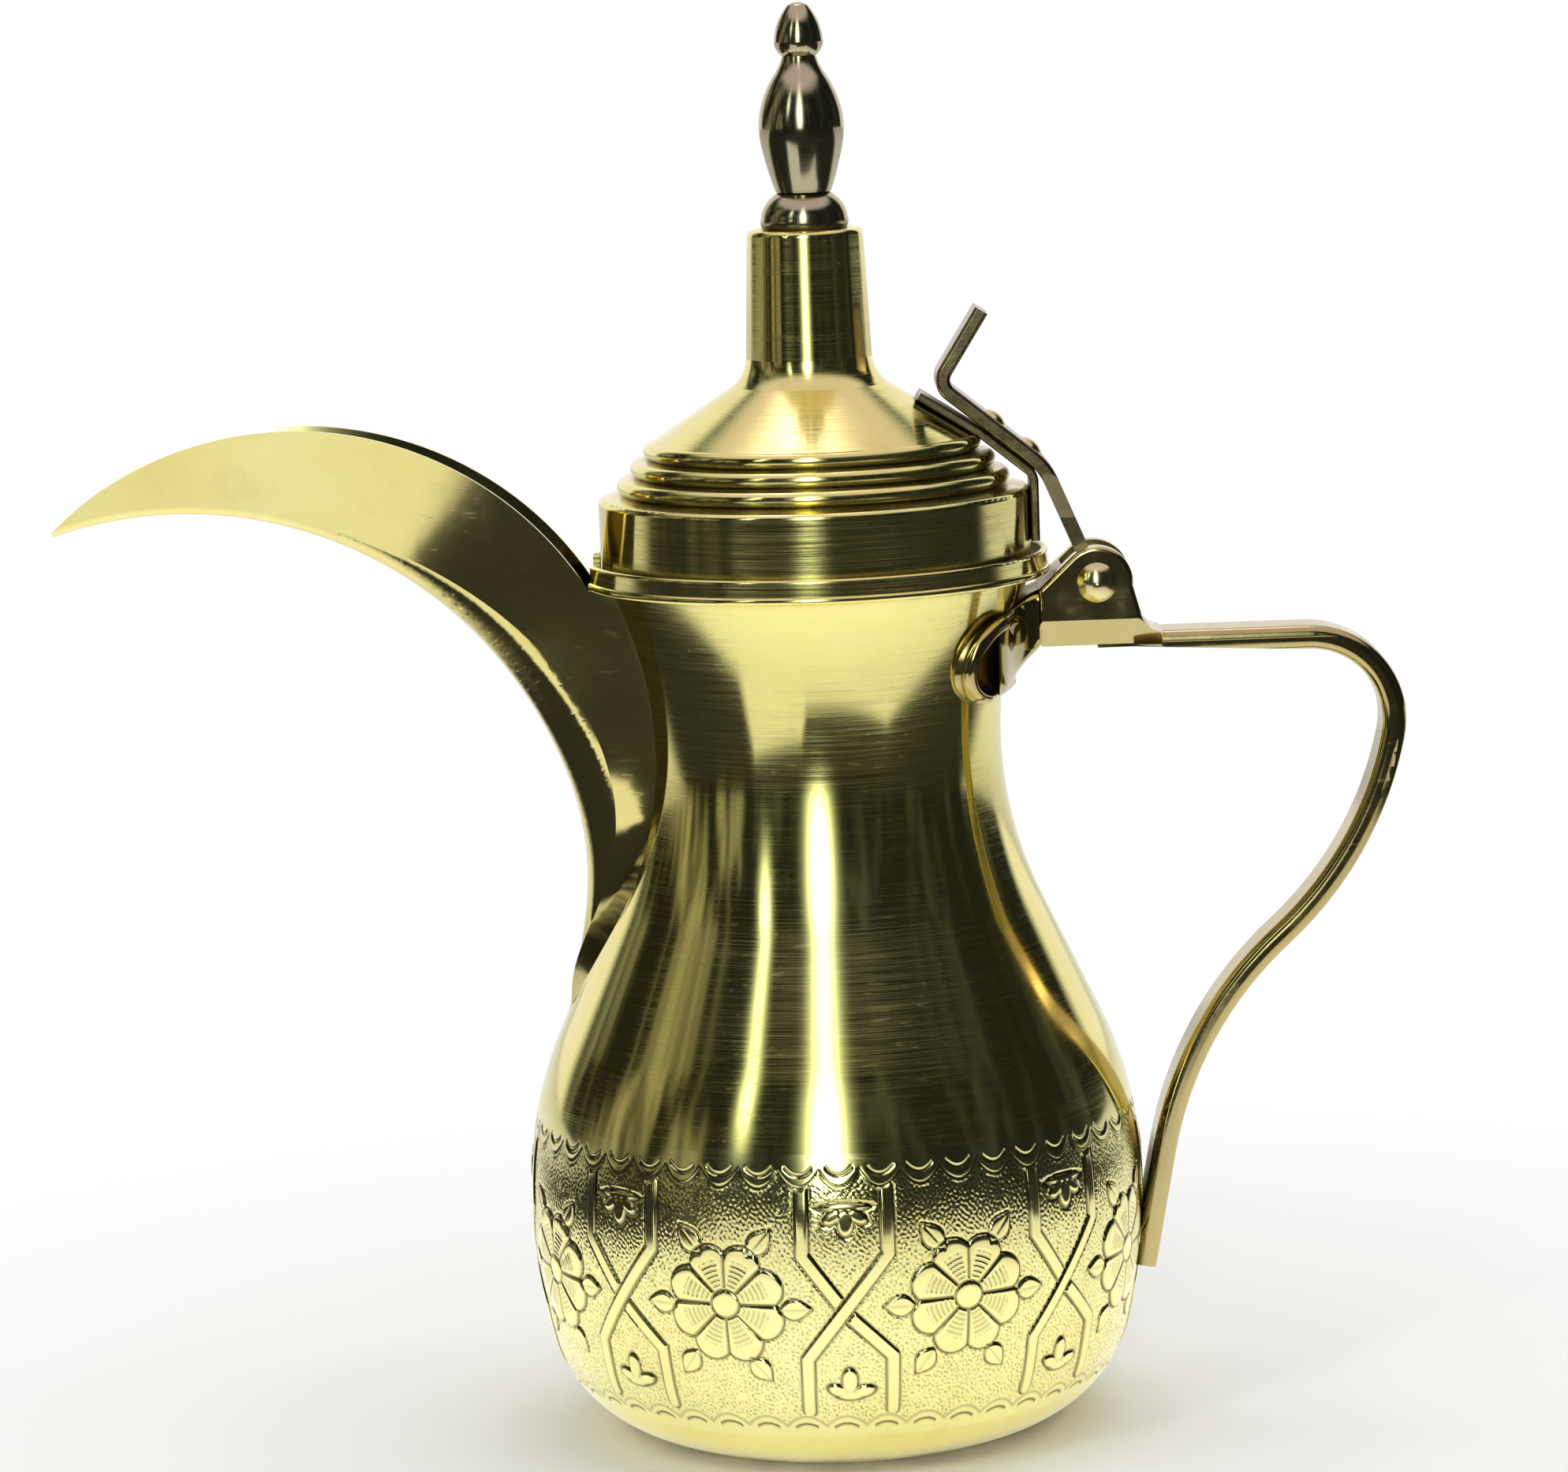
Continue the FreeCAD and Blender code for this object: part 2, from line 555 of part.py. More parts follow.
# Handle: swept grip, hinge block with two ears, tenon into the socket
def make_handle():
    body = new_body("handle")
    half = "grip_thickness / 2"
    path = new_sketch(body, "grip_path")
    bend_c = ("grip_reach - grip_bend", "grip_top - grip_bend")
    sweep = size("grip_sweep - grip_bend")
    drop = size("grip_sweep_drop")
    sweep_c = (size(bend_c[0]) - math.sqrt(sweep**2 - drop**2), size(bend_c[1]) + drop)
    back_c_x = size("grip_return_x + grip_return")
    both = size("grip_sweep + grip_return")
    back_c = (back_c_x, sweep_c[1] - math.sqrt(both**2 - (back_c_x - sweep_c[0]) ** 2))
    bend_r, sweep_r = size(f"grip_bend - {half}"), size(f"grip_sweep - {half}")
    back_r = size(f"grip_return + {half}")

    def polar(centre, radius, angle):
        return centre[0] + radius * math.cos(angle), centre[1] + radius * math.sin(angle)

    centre = (size(bend_c[0]), size(bend_c[1]))
    crown = (centre[0], centre[1] + bend_r)
    first = -math.asin(drop / sweep)
    cross = math.atan2(back_c[1] - sweep_c[1], back_c[0] - sweep_c[0])
    foot = (size(f"foot_x - {half}"), size("foot_z"))
    away = math.atan2(foot[1] - back_c[1], foot[0] - back_c[0]) % (2 * math.pi)
    open_angle = math.acos(back_r / math.hypot(foot[0] - back_c[0], foot[1] - back_c[1]))
    leave = away - open_angle
    join_a, join_b = polar(centre, bend_r, first), polar(sweep_c, sweep_r, cross)
    join_c = polar(back_c, back_r, leave)
    top = add_line(path, (size("pin_x"), crown[1]), crown)
    bend, bend_e = add_arc(path, crown, polar(centre, bend_r, (math.pi / 2 + first) / 2), join_a)
    run, run_e = add_arc(path, join_a, polar(sweep_c, sweep_r, (first + cross) / 2), join_b)
    turn_mid = (math.pi + cross + leave) / 2
    back, back_e = add_arc(path, join_b, polar(back_c, back_r, turn_mid), join_c)
    tail = add_line(path, join_c, foot)
    for geo, end, after, start in (
        (top, 2, bend, bend_e[0]),
        (bend, bend_e[1], run, run_e[0]),
        (run, run_e[1], back, back_e[0]),
        (back, back_e[1], tail, 1),
    ):
        path.addConstraint(Sketcher.Constraint("Tangent", geo, end, after, start))
    path.addConstraint(Sketcher.Constraint("Horizontal", top))
    hold(path, top, 1, "pin_x", None)
    hold(path, bend, 3, *bend_c)
    tie(path, "Radius", f"grip_bend - {half}", bend)
    tie(path, "Radius", f"grip_sweep - {half}", run)
    hold(path, run, 3, None, f"{bend_c[1]} + grip_sweep_drop")
    tie(path, "Radius", f"grip_return + {half}", back)
    hold(path, back, 3, "grip_return_x + grip_return", None)
    hold(path, tail, 2, f"foot_x - {half}", "foot_z")
    section = new_sketch(body, "grip_section", "YZ_Plane")
    section.AttachmentOffset = Placement(Vector(0, 0, size("pin_x")), Rotation())
    section.setExpression("AttachmentOffset.Base.z", bind("pin_x"))
    rounded_box(section, "grip_width / 2", "grip_top - grip_thickness", "grip_top", "grip_round")
    grip = body.newObject("PartDesign::AdditivePipe", "handle_grip")
    grip.Profile = section
    grip.Spine = path
    doc.recompute()
    root = new_sketch(body, "root_trim")
    outline(root, [
        ("pin_x - ear_radius", "grip_top - grip_root"),
        ("pin_x + ear_radius", "grip_top - grip_root"),
        ("grip_reach - grip_bend", "grip_top - grip_thickness"),
        ("grip_reach - grip_bend", "grip_top - 3 * grip_thickness"),
        ("pin_x - ear_radius", "grip_top - 3 * grip_thickness"),
    ])
    cut_through(body, root, "root_cut")
    block = new_sketch(body, "block")
    far = "pin_x + ear_radius"
    toe = f"{far} + block_toe"
    cos_left, sin_left = "cos(130 deg)", "sin(130 deg)"
    outline(block, [
        ("seam_x", "seam_bottom"),
        ("seam_x", "seam_top"),
        (f"pin_x + ear_radius * {cos_left}", f"pin_z + ear_radius * {sin_left}"),
        (far, "pin_z - 1", "pin_x + ear_radius * cos(50 deg)", "pin_z + ear_radius * sin(50 deg)"),
        (f"{far} + block_heel", "grip_top + block_step"),
        (toe, "grip_top", f"{far} + 0.48 * block_toe", "grip_top + 0.34 * block_step"),
        (toe, "grip_top - grip_root"),
        (far, "seam_bottom"),
    ])
    feature(body, "Pad", "block_pad", block, Length="block_width", SideType="Symmetric")
    soften(body, "ears", "ear_round", lambda p: abs(abs(p.y) - size("block_width / 2")) < 0.01)
    flare = new_sketch(body, "flare", "YZ_Plane")
    for side in ("", "-"):
        outline(flare, [
            (f"{side}(block_width / 2 - block_flare)", "seam_bottom"),
            (f"{side}(block_width / 2 + 1)", "seam_bottom"),
            (f"{side}(block_width / 2 + 1)", "seam_bottom + block_flare_height"),
            (f"{side}(block_width / 2)", "seam_bottom + block_flare_height"),
        ])
    cut_through(body, flare, "flare_cut")
    slot = new_sketch(body, "slot")
    clear = "knuckle_radius + hinge_gap"
    outline(slot, [
        (f"pin_x - ({clear})", "pin_z"),
        (
            "pin_x", f"pin_z - ({clear})",
            f"pin_x - ({clear}) * cos(45 deg)", f"pin_z - ({clear}) * sin(45 deg)",
        ),
        ("pin_x + 3 * ear_radius", f"pin_z - ({clear})"),
        ("pin_x + 3 * ear_radius", "pin_z + 2 * ear_radius"),
        (f"pin_x - ({clear})", "pin_z + 2 * ear_radius"),
    ])
    feature(body, "Pocket", "slot_cut", slot, Length="knuckle_width + 2 * knuckle_play", SideType="Symmetric")
    bore = new_sketch(body, "pin_bore")
    circle(bore, "pin_x", "pin_z", "pin_radius")
    cut_through(body, bore, "pin_bore_cut")
    tenon = new_sketch(body, "tenon", "YZ_Plane")
    tenon.AttachmentOffset = Placement(Vector(0, 0, size("seam_x")), Rotation())
    tenon.setExpression("AttachmentOffset.Base.z", bind("seam_x"))
    circle(tenon, "0", "(seam_bottom + seam_top) / 2", "tenon_radius")
    feature(body, "Pad", "tenon_pad", tenon, Length="tenon_length", Reversed=True)
    fit_to_pot(body)


def rounded_box(sketch, half, bottom, top, radius):
    """Rectangle about the vertical axis with rounded corners."""
    k = 1 - math.sqrt(0.5)
    corner = f"{k:.6f} * ({radius})"
    outline(sketch, [
        (f"({half}) - ({radius})", bottom),
        (half, f"{bottom} + ({radius})", f"({half}) - {corner}", f"{bottom} + {corner}"),
        (half, f"{top} - ({radius})"),
        (f"({half}) - ({radius})", top, f"({half}) - {corner}", f"{top} - {corner}"),
        (f"-({half}) + ({radius})", top),
        (f"-({half})", f"{top} - ({radius})", f"-({half}) + {corner}", f"{top} - {corner}"),
        (f"-({half})", f"{bottom} + ({radius})"),
        (f"-({half}) + ({radius})", bottom, f"-({half}) + {corner}", f"{bottom} + {corner}"),
    ])


# Socket: a saddle plate that hugs the neck, flaring into the handle's seam
def make_handle_socket():
    body = new_body("handle_socket")
    plate = new_sketch(body, "plate", "YZ_Plane")
    tall = "(saddle_top - saddle_bottom) / 2"
    rounded_box(plate, "saddle_half", "saddle_bottom", "saddle_top", f"{tall} * 0.9")
    feature(body, "Pad", "plate_pad", plate, Length="seam_x + 10")
    shave = new_sketch(body, "shave")
    edge = "neck_height"
    far = "seam_x + 40"
    low = "saddle_bottom - 5"
    grown = "neck_sweep - saddle_plate"

    def face(height):
        return f"waist_radius + neck_sweep - sqrt(({grown})^2 - ({height} - waist_height)^2)"

    middle = "(saddle_bottom + saddle_top) / 2"
    outline(shave, [
        (face(low), low),
        (face(edge), edge, face(middle), middle),
        (far, edge),
        (far, low),
    ])
    feature(body, "Groove", "shaved", shave, ReferenceAxis=(shave, ["V_Axis"]), Angle="180", Midplane=True)
    soften(body, "rim", "saddle_round", on_saddle_face)
    flare = []
    shares = ((0, 0), (0.30, 0.05), (0.55, 0.17), (0.75, 0.34), (0.9, 0.55), (1.25, 0.86))
    for n, (back, spread) in enumerate(shares):
        sketch = new_sketch(body, f"flare_{n}", "YZ_Plane")
        place = f"seam_x - {back} * (seam_x - waist_radius - 1)"
        sketch.AttachmentOffset = Placement(Vector(0, 0, size(place)), Rotation())
        sketch.setExpression("AttachmentOffset.Base.z", bind(place))
        half = f"block_width / 2 + {spread} * (saddle_half - block_width / 2)"
        rise = math.sqrt(spread)
        bottom = f"seam_bottom + {rise:.3f} * (saddle_bottom - seam_bottom)"
        top = f"seam_top + {rise:.3f} * (saddle_top - seam_top)"
        rounded_box(sketch, half, bottom, top, f"horn_corner * {1 + 1.67 * spread:.3f}")
        flare.append(sketch)
    feature(body, "AdditiveLoft", "horn", flare[0], Sections=flare[1:])
    hole = new_sketch(body, "tenon_hole", "YZ_Plane")
    hole.AttachmentOffset = Placement(Vector(0, 0, size("seam_x")), Rotation())
    hole.setExpression("AttachmentOffset.Base.z", bind("seam_x"))
    circle(hole, "0", "(seam_bottom + seam_top) / 2", "tenon_radius + tenon_play")
    feature(body, "Pocket", "tenon_cut", hole, Length="tenon_length + tenon_play")
    fit_to_pot(body)


def on_saddle_face(point):
    """True on the saddle's outer face, which the Groove left."""
    grown = size("neck_sweep - saddle_plate")
    rise = point.z - size("waist_height")
    face = size("waist_radius + neck_sweep") - math.sqrt(grown**2 - rise**2)
    return abs(math.hypot(point.x, point.y) - face) < 0.01


# Hinge pin: shaft through both ears with two domed heads
def make_hinge_pin():
    body = new_body("hinge_pin")
    sketch = new_sketch(body, "half", "XY_Plane")
    side = "block_width / 2"
    near, near_middle = dome("pin_head_radius", f"-{side}", "pin_head_height", -1)
    peak, peak_middle = dome("pin_head_radius", side, "pin_head_height")
    outline(sketch, [
        near,
        ("pin_head_radius", f"-{side}", *near_middle),
        ("pin_radius", f"-{side}"),
        ("pin_radius", side),
        ("pin_head_radius", side),
        (*peak, *peak_middle),
    ])
    revolve(body, sketch)
    body.setExpression("Placement.Base.x", bind("pin_x"))
    body.setExpression("Placement.Base.z", bind("pin_z"))


LID_BASE = "neck_height + ledge_thickness + seat_gap"


# Lid: band, three ribs, cone and chimney in one spun shell
def make_lid_shell():
    body = new_body("lid_shell")
    sketch = new_sketch(body, "wall")
    outline(sketch, lid_face() + [
        (
            "chimney_radius - chimney_round", "chimney_height",
            "chimney_radius - 0.3 * chimney_round", "chimney_height - 0.3 * chimney_round",
        ),
        ("stud_radius + stud_play", "chimney_height"),
        ("stud_radius + stud_play", "chimney_height - crown_thickness"),
        ("chimney_radius - lid_wall", "chimney_height - crown_thickness"),
        ("chimney_foot_radius - lid_wall", "chimney_foot"),
        (
            "chimney_foot_radius + chimney_flare - 1.3 * lid_wall",
            "chimney_foot - chimney_flare_drop - lid_wall",
        ),
        (
            "rib_radius - 2 * rib_step - rib_depth - 2 * lid_wall",
            "rib_base + 2 * rib_rise + rib_height - lid_wall",
        ),
        ("rib_radius - rib_depth - 1.6 * lid_wall", "band_height - lid_wall"),
        ("lid_radius - lid_wall", "band_height - lid_wall"),
        ("lid_radius - lid_wall", "0"),
        ("lid_radius - lid_wall / 2", "0"),
    ])
    revolve(body, sketch)
    lift(body, LID_BASE)


def lid_face():
    """Outer face of the lid from its lower edge up to the chimney's corner."""
    points = [
        ("lid_radius", "lid_wall / 2"),
        ("lid_radius", "band_height - band_round"),
        (
            "lid_radius - band_round", "band_height",
            "lid_radius - 0.3 * band_round", "band_height - 0.3 * band_round",
        ),
    ]
    for n in range(3):
        crest = f"rib_radius - {n} * rib_step"
        foot = f"rib_base + {n} * rib_rise"
        points.append((f"{crest} - rib_depth", foot))
        over = (crest, f"{foot} + rib_height * 0.5")
        points.append((f"{crest} - rib_depth * 1.4", f"{foot} + rib_height", *over))
    flare = "chimney_foot_radius + chimney_flare"
    points.append((flare, "chimney_foot - chimney_flare_drop"))
    points.append((
        "chimney_foot_radius", "chimney_foot",
        "chimney_foot_radius + chimney_flare * 0.34", "chimney_foot - chimney_flare_drop * 0.58",
    ))
    points.append(("chimney_radius", "chimney_height - chimney_round"))
    return points


# Finial: three turned pieces on a stud, drawn down by a nut inside the chimney
STUD_BORE = "stud_radius + stud_play"
CROWN = f"{LID_BASE} + chimney_height"


def turned(label, points, height):
    body = new_body(label)
    sketch = new_sketch(body, "profile")
    outline(sketch, points)
    revolve(body, sketch)
    lift(body, height)
    return body


def make_finial():
    turned("finial_bead", [
        (STUD_BORE, "0"),
        ("bead_radius - 0.5", "0"),
        ("bead_radius - 0.1", "2.3", "bead_radius", "1.2"),
        (
            "bead_top_radius", "bead_height",
            "bead_radius * 0.6 + bead_top_radius * 0.46", "bead_height * 0.72",
        ),
        (STUD_BORE, "bead_height"),
    ], CROWN)
    turned("finial_baluster", [
        (STUD_BORE, "0"),
        ("acorn_foot_radius", "0"),
        (
            "acorn_radius", "acorn_belly",
            "acorn_foot_radius * 0.44 + acorn_radius * 0.56 + 0.12", "acorn_belly * 0.46",
        ),
        (
            "acorn_neck_radius + 1.3", "acorn_height - 3",
            "acorn_radius * 0.93", "acorn_belly * 0.6 + acorn_height * 0.37",
        ),
        ("acorn_neck_radius", "acorn_height", "acorn_neck_radius + 0.4", "acorn_height - 1.3"),
        (STUD_BORE, "acorn_height"),
    ], f"{CROWN} + bead_height")
    peak, peak_middle = dome("tip_radius * 0.42", "tip_height * 0.94", "tip_height * 0.06")
    turned("finial_tip", [
        (STUD_BORE, "0"),
        ("acorn_neck_radius", "0"),
        (
            "tip_radius", "tip_height * 0.26",
            "tip_radius * 0.6 + acorn_neck_radius * 0.44", "tip_height * 0.11",
        ),
        ("tip_radius * 0.42", "tip_height * 0.94", "tip_radius * 0.85", "tip_height * 0.6"),
        (*peak, *peak_middle),
        ("0", "stud_engagement + stud_end_gap"),
        (STUD_BORE, "stud_engagement + stud_end_gap"),
    ], f"{CROWN} + bead_height + acorn_height")
    turned("finial_stud", [
        ("0", "0"),
        ("stud_radius", "0"),
        ("stud_radius", "stud_tail + crown_thickness + bead_height + acorn_height + stud_engagement"),
        ("0", "stud_tail + crown_thickness + bead_height + acorn_height + stud_engagement"),
    ], f"{CROWN} - crown_thickness - stud_tail")
    turned("finial_washer", [
        (STUD_BORE, "0"),
        ("washer_radius", "0"),
        ("washer_radius", "washer_thickness"),
        (STUD_BORE, "washer_thickness"),
    ], f"{CROWN} - crown_thickness - washer_thickness")
    nut = new_body("finial_nut")
    sketch = new_sketch(nut, "hexagon", "XY_Plane")
    corners = [(f"nut_radius * cos({60 * n} deg)", f"nut_radius * sin({60 * n} deg)") for n in range(6)]
    corners[0] = ("nut_radius", "0")
    corners[3] = ("-nut_radius", "0")
    outline(sketch, corners)
    circle(sketch, "0", "0", STUD_BORE)
    feature(nut, "Pad", "hex_pad", sketch, Length="nut_height")
    lift(nut, f"{CROWN} - crown_thickness - washer_thickness - nut_height")


# Lid lever: a bent bar from the knuckle to the thumb piece
ARM_RUN = "(knee_x - elbow_x)"
ARM_FALL = "(elbow_z - knee_z)"
ARM = f"sqrt({ARM_RUN}^2 + {ARM_FALL}^2)"


def bent_path(sketch, corners, radii):
    """Straight runs through the corners, each inner corner rounded."""
    places = [Vector(size(x), size(y), 0) for x, y in corners]
    bends = []
    for n, radius in enumerate(radii):
        corner = places[n + 1]
        back = (places[n] - corner).normalize()
        ahead = (places[n + 2] - corner).normalize()
        half = math.acos(back.dot(ahead)) / 2
        r = size(radius)
        middle = corner + (back + ahead).normalize() * (r / math.sin(half) - r)
        bends.append((corner + back * (r / math.tan(half)), middle, corner + ahead * (r / math.tan(half))))
    starts = [places[0]] + [b[2] for b in bends]
    finishes = [b[0] for b in bends] + [places[-1]]
    lines = [add_line(sketch, a[:2], b[:2]) for a, b in zip(starts, finishes)]
    hold(sketch, lines[0], 1, *corners[0])
    hold(sketch, lines[-1], 2, *corners[-1])
    for n, radius in enumerate(radii):
        arc, ends = add_arc(sketch, *(p[:2] for p in bends[n]))
        sketch.addConstraint(Sketcher.Constraint("Tangent", lines[n], 2, arc, ends[0]))
        sketch.addConstraint(Sketcher.Constraint("Tangent", arc, ends[1], lines[n + 1], 1))
        tie(sketch, "Radius", radius, arc)
        mark = sketch.addGeometry(Part.Point(places[n + 1]), True)
        hold(sketch, mark, 1, *corners[n + 1])
        sketch.addConstraint(Sketcher.Constraint("PointOnObject", mark, 1, lines[n]))
        sketch.addConstraint(Sketcher.Constraint("PointOnObject", mark, 1, lines[n + 1]))


def bar_section(body, name, corners, thickness, width, edge):
    """Flat section square to the first run of a path, at the path's start."""
    (x0, z0), (x1, z1) = corners[:2]
    sketch = new_sketch(body, name, "XY_Plane")
    lean = f"atan2(({x1}) - ({x0}); ({z1}) - ({z0}))"
    angle = math.degrees(math.atan2(size(x1) - size(x0), size(z1) - size(z0)))
    sketch.AttachmentOffset = Placement(Vector(size(x0), 0, size(z0)), Rotation(Vector(0, 1, 0), angle))
    sketch.setExpression("AttachmentOffset.Base.x", bind(x0))
    sketch.setExpression("AttachmentOffset.Base.z", bind(z0))
    sketch.setExpression("AttachmentOffset.Rotation.Angle", bind(lean))
    rounded_box(sketch, f"{thickness} / 2", f"-{width} / 2", f"{width} / 2", edge)
    return sketch


def sweep(body, name, section, path):
    pipe = body.newObject("PartDesign::AdditivePipe", f"{body.Name}_{name}")
    pipe.Profile = section
    pipe.Spine = path
    doc.recompute()


def make_lid_lever():
    body = new_body("lid_lever")
    corners = [("pin_x", "pin_z"), ("knee_x", "knee_z"), ("elbow_x", "elbow_z"), ("thumb_x", "thumb_z")]
    path = new_sketch(body, "path")
    bent_path(path, corners, ["knee_round", "elbow_round"])
    section = bar_section(body, "section", corners, "lever_thickness", "lever_width", "lever_edge")
    sweep(body, "bar", section, path)
    neck = new_sketch(body, "neck", "YZ_Plane")
    for side in ("", "-"):
        outline(neck, [
            (f"{side}knuckle_width / 2", "pin_z - 2 * knuckle_radius"),
            (f"{side}knuckle_width / 2", "lever_taper_end"),
            (f"{side}(lever_width / 2 + 0.01)", "lever_taper_top"),
            (f"{side}(lever_width / 2 + 3)", "lever_taper_top"),
            (f"{side}(lever_width / 2 + 3)", "pin_z - 2 * knuckle_radius"),
        ])
    cut_through(body, neck, "neck_cut")
    eye = new_sketch(body, "eye")
    circle(eye, "pin_x", "pin_z", "knuckle_radius")
    feature(body, "Pad", "eye_pad", eye, Length="knuckle_width", SideType="Symmetric")
    bore = new_sketch(body, "bore")
    circle(bore, "pin_x", "pin_z", "pin_radius + pin_play")
    cut_through(body, bore, "bore_cut")
    rivet_holes(body)


def rivet_place(n):
    """A rivet's centre on the middle of the lever's arm."""
    along = f"(rivet_first + {n} * rivet_pitch) / {ARM}"
    return f"elbow_x + {ARM_RUN} * {along}", f"elbow_z - {ARM_FALL} * {along}"


def rivet_holes(body):
    for n in range(2):
        sketch = new_sketch(body, f"rivet_hole_{n}", "XY_Plane")
        square_to_arm(sketch, *rivet_place(n))
        circle(sketch, "0", "0", "rivet_radius")
        reach = "2 * (lever_thickness + strap_gap + 2 * strap_thickness)"
        feature(body, "Pocket", f"rivet_cut_{n}", sketch, Length=reach, SideType="Symmetric")


def square_to_arm(target, x, z):
    """Turn a sketch or body so that its Z points out of the lever's arm."""
    is_sketch = target.TypeId.startswith("Sketcher")
    key = "AttachmentOffset" if is_sketch else "Placement"
    lean = math.degrees(math.atan2(size(ARM_FALL), size(ARM_RUN)))
    setattr(target, key, Placement(Vector(size(x), 0, size(z)), Rotation(Vector(0, 1, 0), lean)))
    target.setExpression(f"{key}.Base.x", bind(x))
    target.setExpression(f"{key}.Base.z", bind(z))
    target.setExpression(f"{key}.Rotation.Angle", bind(f"atan2({ARM_FALL}; {ARM_RUN})"))


def make_rivets():
    for n, label in enumerate(("lever_rivet_upper", "lever_rivet_lower")):
        body = new_body(label)
        sketch = new_sketch(body, "half")
        seat = "lever_thickness / 2"
        tail = "-rivet_tail"
        peak, peak_middle = dome("rivet_head_radius", seat, "rivet_head_height")
        outline(sketch, [
            ("0", tail),
            ("rivet_radius", tail),
            ("rivet_radius", seat),
            ("rivet_head_radius", seat),
            (*peak, *peak_middle),
        ])
        revolve(body, sketch)
        square_to_arm(body, *rivet_place(n))


# Strap: a bent strip brazed to the cone and to the band, carrying the lever
def make_lid_strap():
    body = new_body("lid_strap")
    under = f"(lever_thickness / 2 + strap_gap + strap_thickness / 2) * {ARM} / {ARM_RUN}"

    def below_arm(x):
        return f"elbow_z - {ARM_FALL} / {ARM_RUN} * (({x}) - elbow_x) - {under}"

    cone_top = ("chimney_foot_radius + chimney_flare", f"{LID_BASE} + chimney_foot - chimney_flare_drop")
    cone_end = (
        "rib_radius - 2 * rib_step - 1.4 * rib_depth",
        f"{LID_BASE} + rib_base + 2 * rib_rise + rib_height",
    )
    fall = f"(({cone_top[1]}) - ({cone_end[1]})) / (({cone_end[0]}) - ({cone_top[0]}))"
    half_thick = f"strap_thickness / 2 * sqrt(1 + ({fall})^2)"
    on_cone = f"({cone_top[1]}) - {fall} * (strap_top_x - ({cone_top[0]})) + {half_thick}"
    drop_x = "lid_radius + strap_thickness / 2"
    corners = [
        ("strap_top_x", on_cone),
        ("strap_break_x", below_arm("strap_break_x")),
        (drop_x, below_arm(drop_x)),
        (drop_x, "strap_end"),
    ]
    path = new_sketch(body, "path")
    bent_path(path, corners, ["6 * strap_corner", "strap_corner"])
    section = bar_section(body, "section", corners, "strap_thickness", "strap_width", "strap_edge")
    sweep(body, "strip", section, path)
    fit_to_lid(body)
    rivet_holes(body)


def fit_to_lid(body):
    """Trim a piece to the outer face of the lid, where it is brazed on."""
    sketch = new_sketch(body, "lid_face")
    points = []
    for p in lid_face():
        middle = (p[2], f"{LID_BASE} + {p[3]}") if len(p) > 2 else ()
        points.append((p[0], f"{LID_BASE} + {p[1]}", *middle))
    points.append(("0", f"{CROWN} - chimney_round"))
    points.append(("0", f"{LID_BASE} + lid_wall / 2"))
    outline(sketch, points)
    revolve(body, sketch, "lid_fit", "Groove")


for make in (
    make_body_shell, make_base_plate, make_neck_collar, make_spout, make_handle_socket,
    make_handle, make_hinge_pin, make_lid_shell, make_lid_strap, make_lid_lever,
    make_rivets, make_finial,
):
    make()
doc.recompute()

broken = [o.Name for o in doc.Objects if {"Invalid", "Error"} & set(o.State)]
if broken:
    raise RuntimeError(f"failed features: {broken}")
pieces = [o for o in doc.Objects if o.TypeId == "PartDesign::Body"]
for piece in pieces:
    shape = piece.Shape
    if shape.isNull() or not shape.isValid():
        raise RuntimeError(f"{piece.Label} has no valid shape")
os.makedirs("parts", exist_ok=True)
for piece in pieces:
    piece.Shape.exportStep(f"parts/{piece.Label}.step")
    print(piece.Label, len(piece.Shape.Solids), round(piece.Shape.Volume, 1))
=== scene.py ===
# %% [markdown]
# # A brass dallah
# The pot is a spun body with a rolled ornament band, an open crescent spout, a
# bent bar handle and a hinged lid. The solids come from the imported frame, so
# every piece here is built in that same frame: the pot stands on Z = 0, the
# spout points to -X and the handle to +X. The pot's own sizes are written in
# millimetres and turned into metres when a mesh is made; the camera, the floor
# and the lamps are placed in metres.

# %% Load the frame
import json
import math

import bpy
import numpy as np
from mathutils import Matrix, Vector

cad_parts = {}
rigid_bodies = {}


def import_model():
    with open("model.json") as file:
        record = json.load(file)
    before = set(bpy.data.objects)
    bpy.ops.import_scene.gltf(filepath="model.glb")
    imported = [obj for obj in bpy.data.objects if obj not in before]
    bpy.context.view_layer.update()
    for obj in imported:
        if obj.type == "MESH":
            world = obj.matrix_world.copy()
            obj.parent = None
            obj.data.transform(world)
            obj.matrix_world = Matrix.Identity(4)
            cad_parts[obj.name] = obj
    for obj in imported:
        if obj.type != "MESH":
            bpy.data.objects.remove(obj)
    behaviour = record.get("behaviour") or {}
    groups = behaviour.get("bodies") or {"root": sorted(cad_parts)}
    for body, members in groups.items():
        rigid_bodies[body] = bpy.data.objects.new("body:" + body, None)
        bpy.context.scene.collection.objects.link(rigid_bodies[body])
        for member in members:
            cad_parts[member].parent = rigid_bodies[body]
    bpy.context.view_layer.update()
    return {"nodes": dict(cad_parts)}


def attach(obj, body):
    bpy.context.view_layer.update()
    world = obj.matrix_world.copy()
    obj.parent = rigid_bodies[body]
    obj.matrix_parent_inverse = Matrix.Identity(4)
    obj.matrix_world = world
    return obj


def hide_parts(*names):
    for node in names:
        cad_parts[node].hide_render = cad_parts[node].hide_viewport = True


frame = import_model()
nodes = frame["nodes"]
scene = bpy.context.scene
MM = 0.001

# %% [markdown]
# ## Camera
# The picture was taken from a little above the belly, square to the handle and
# spout, with the camera turned two degrees. A long lens keeps the pot's sides
# nearly parallel. Three axes written as a matrix say where the camera looks, and
# a turn about its own Z gives the roll.

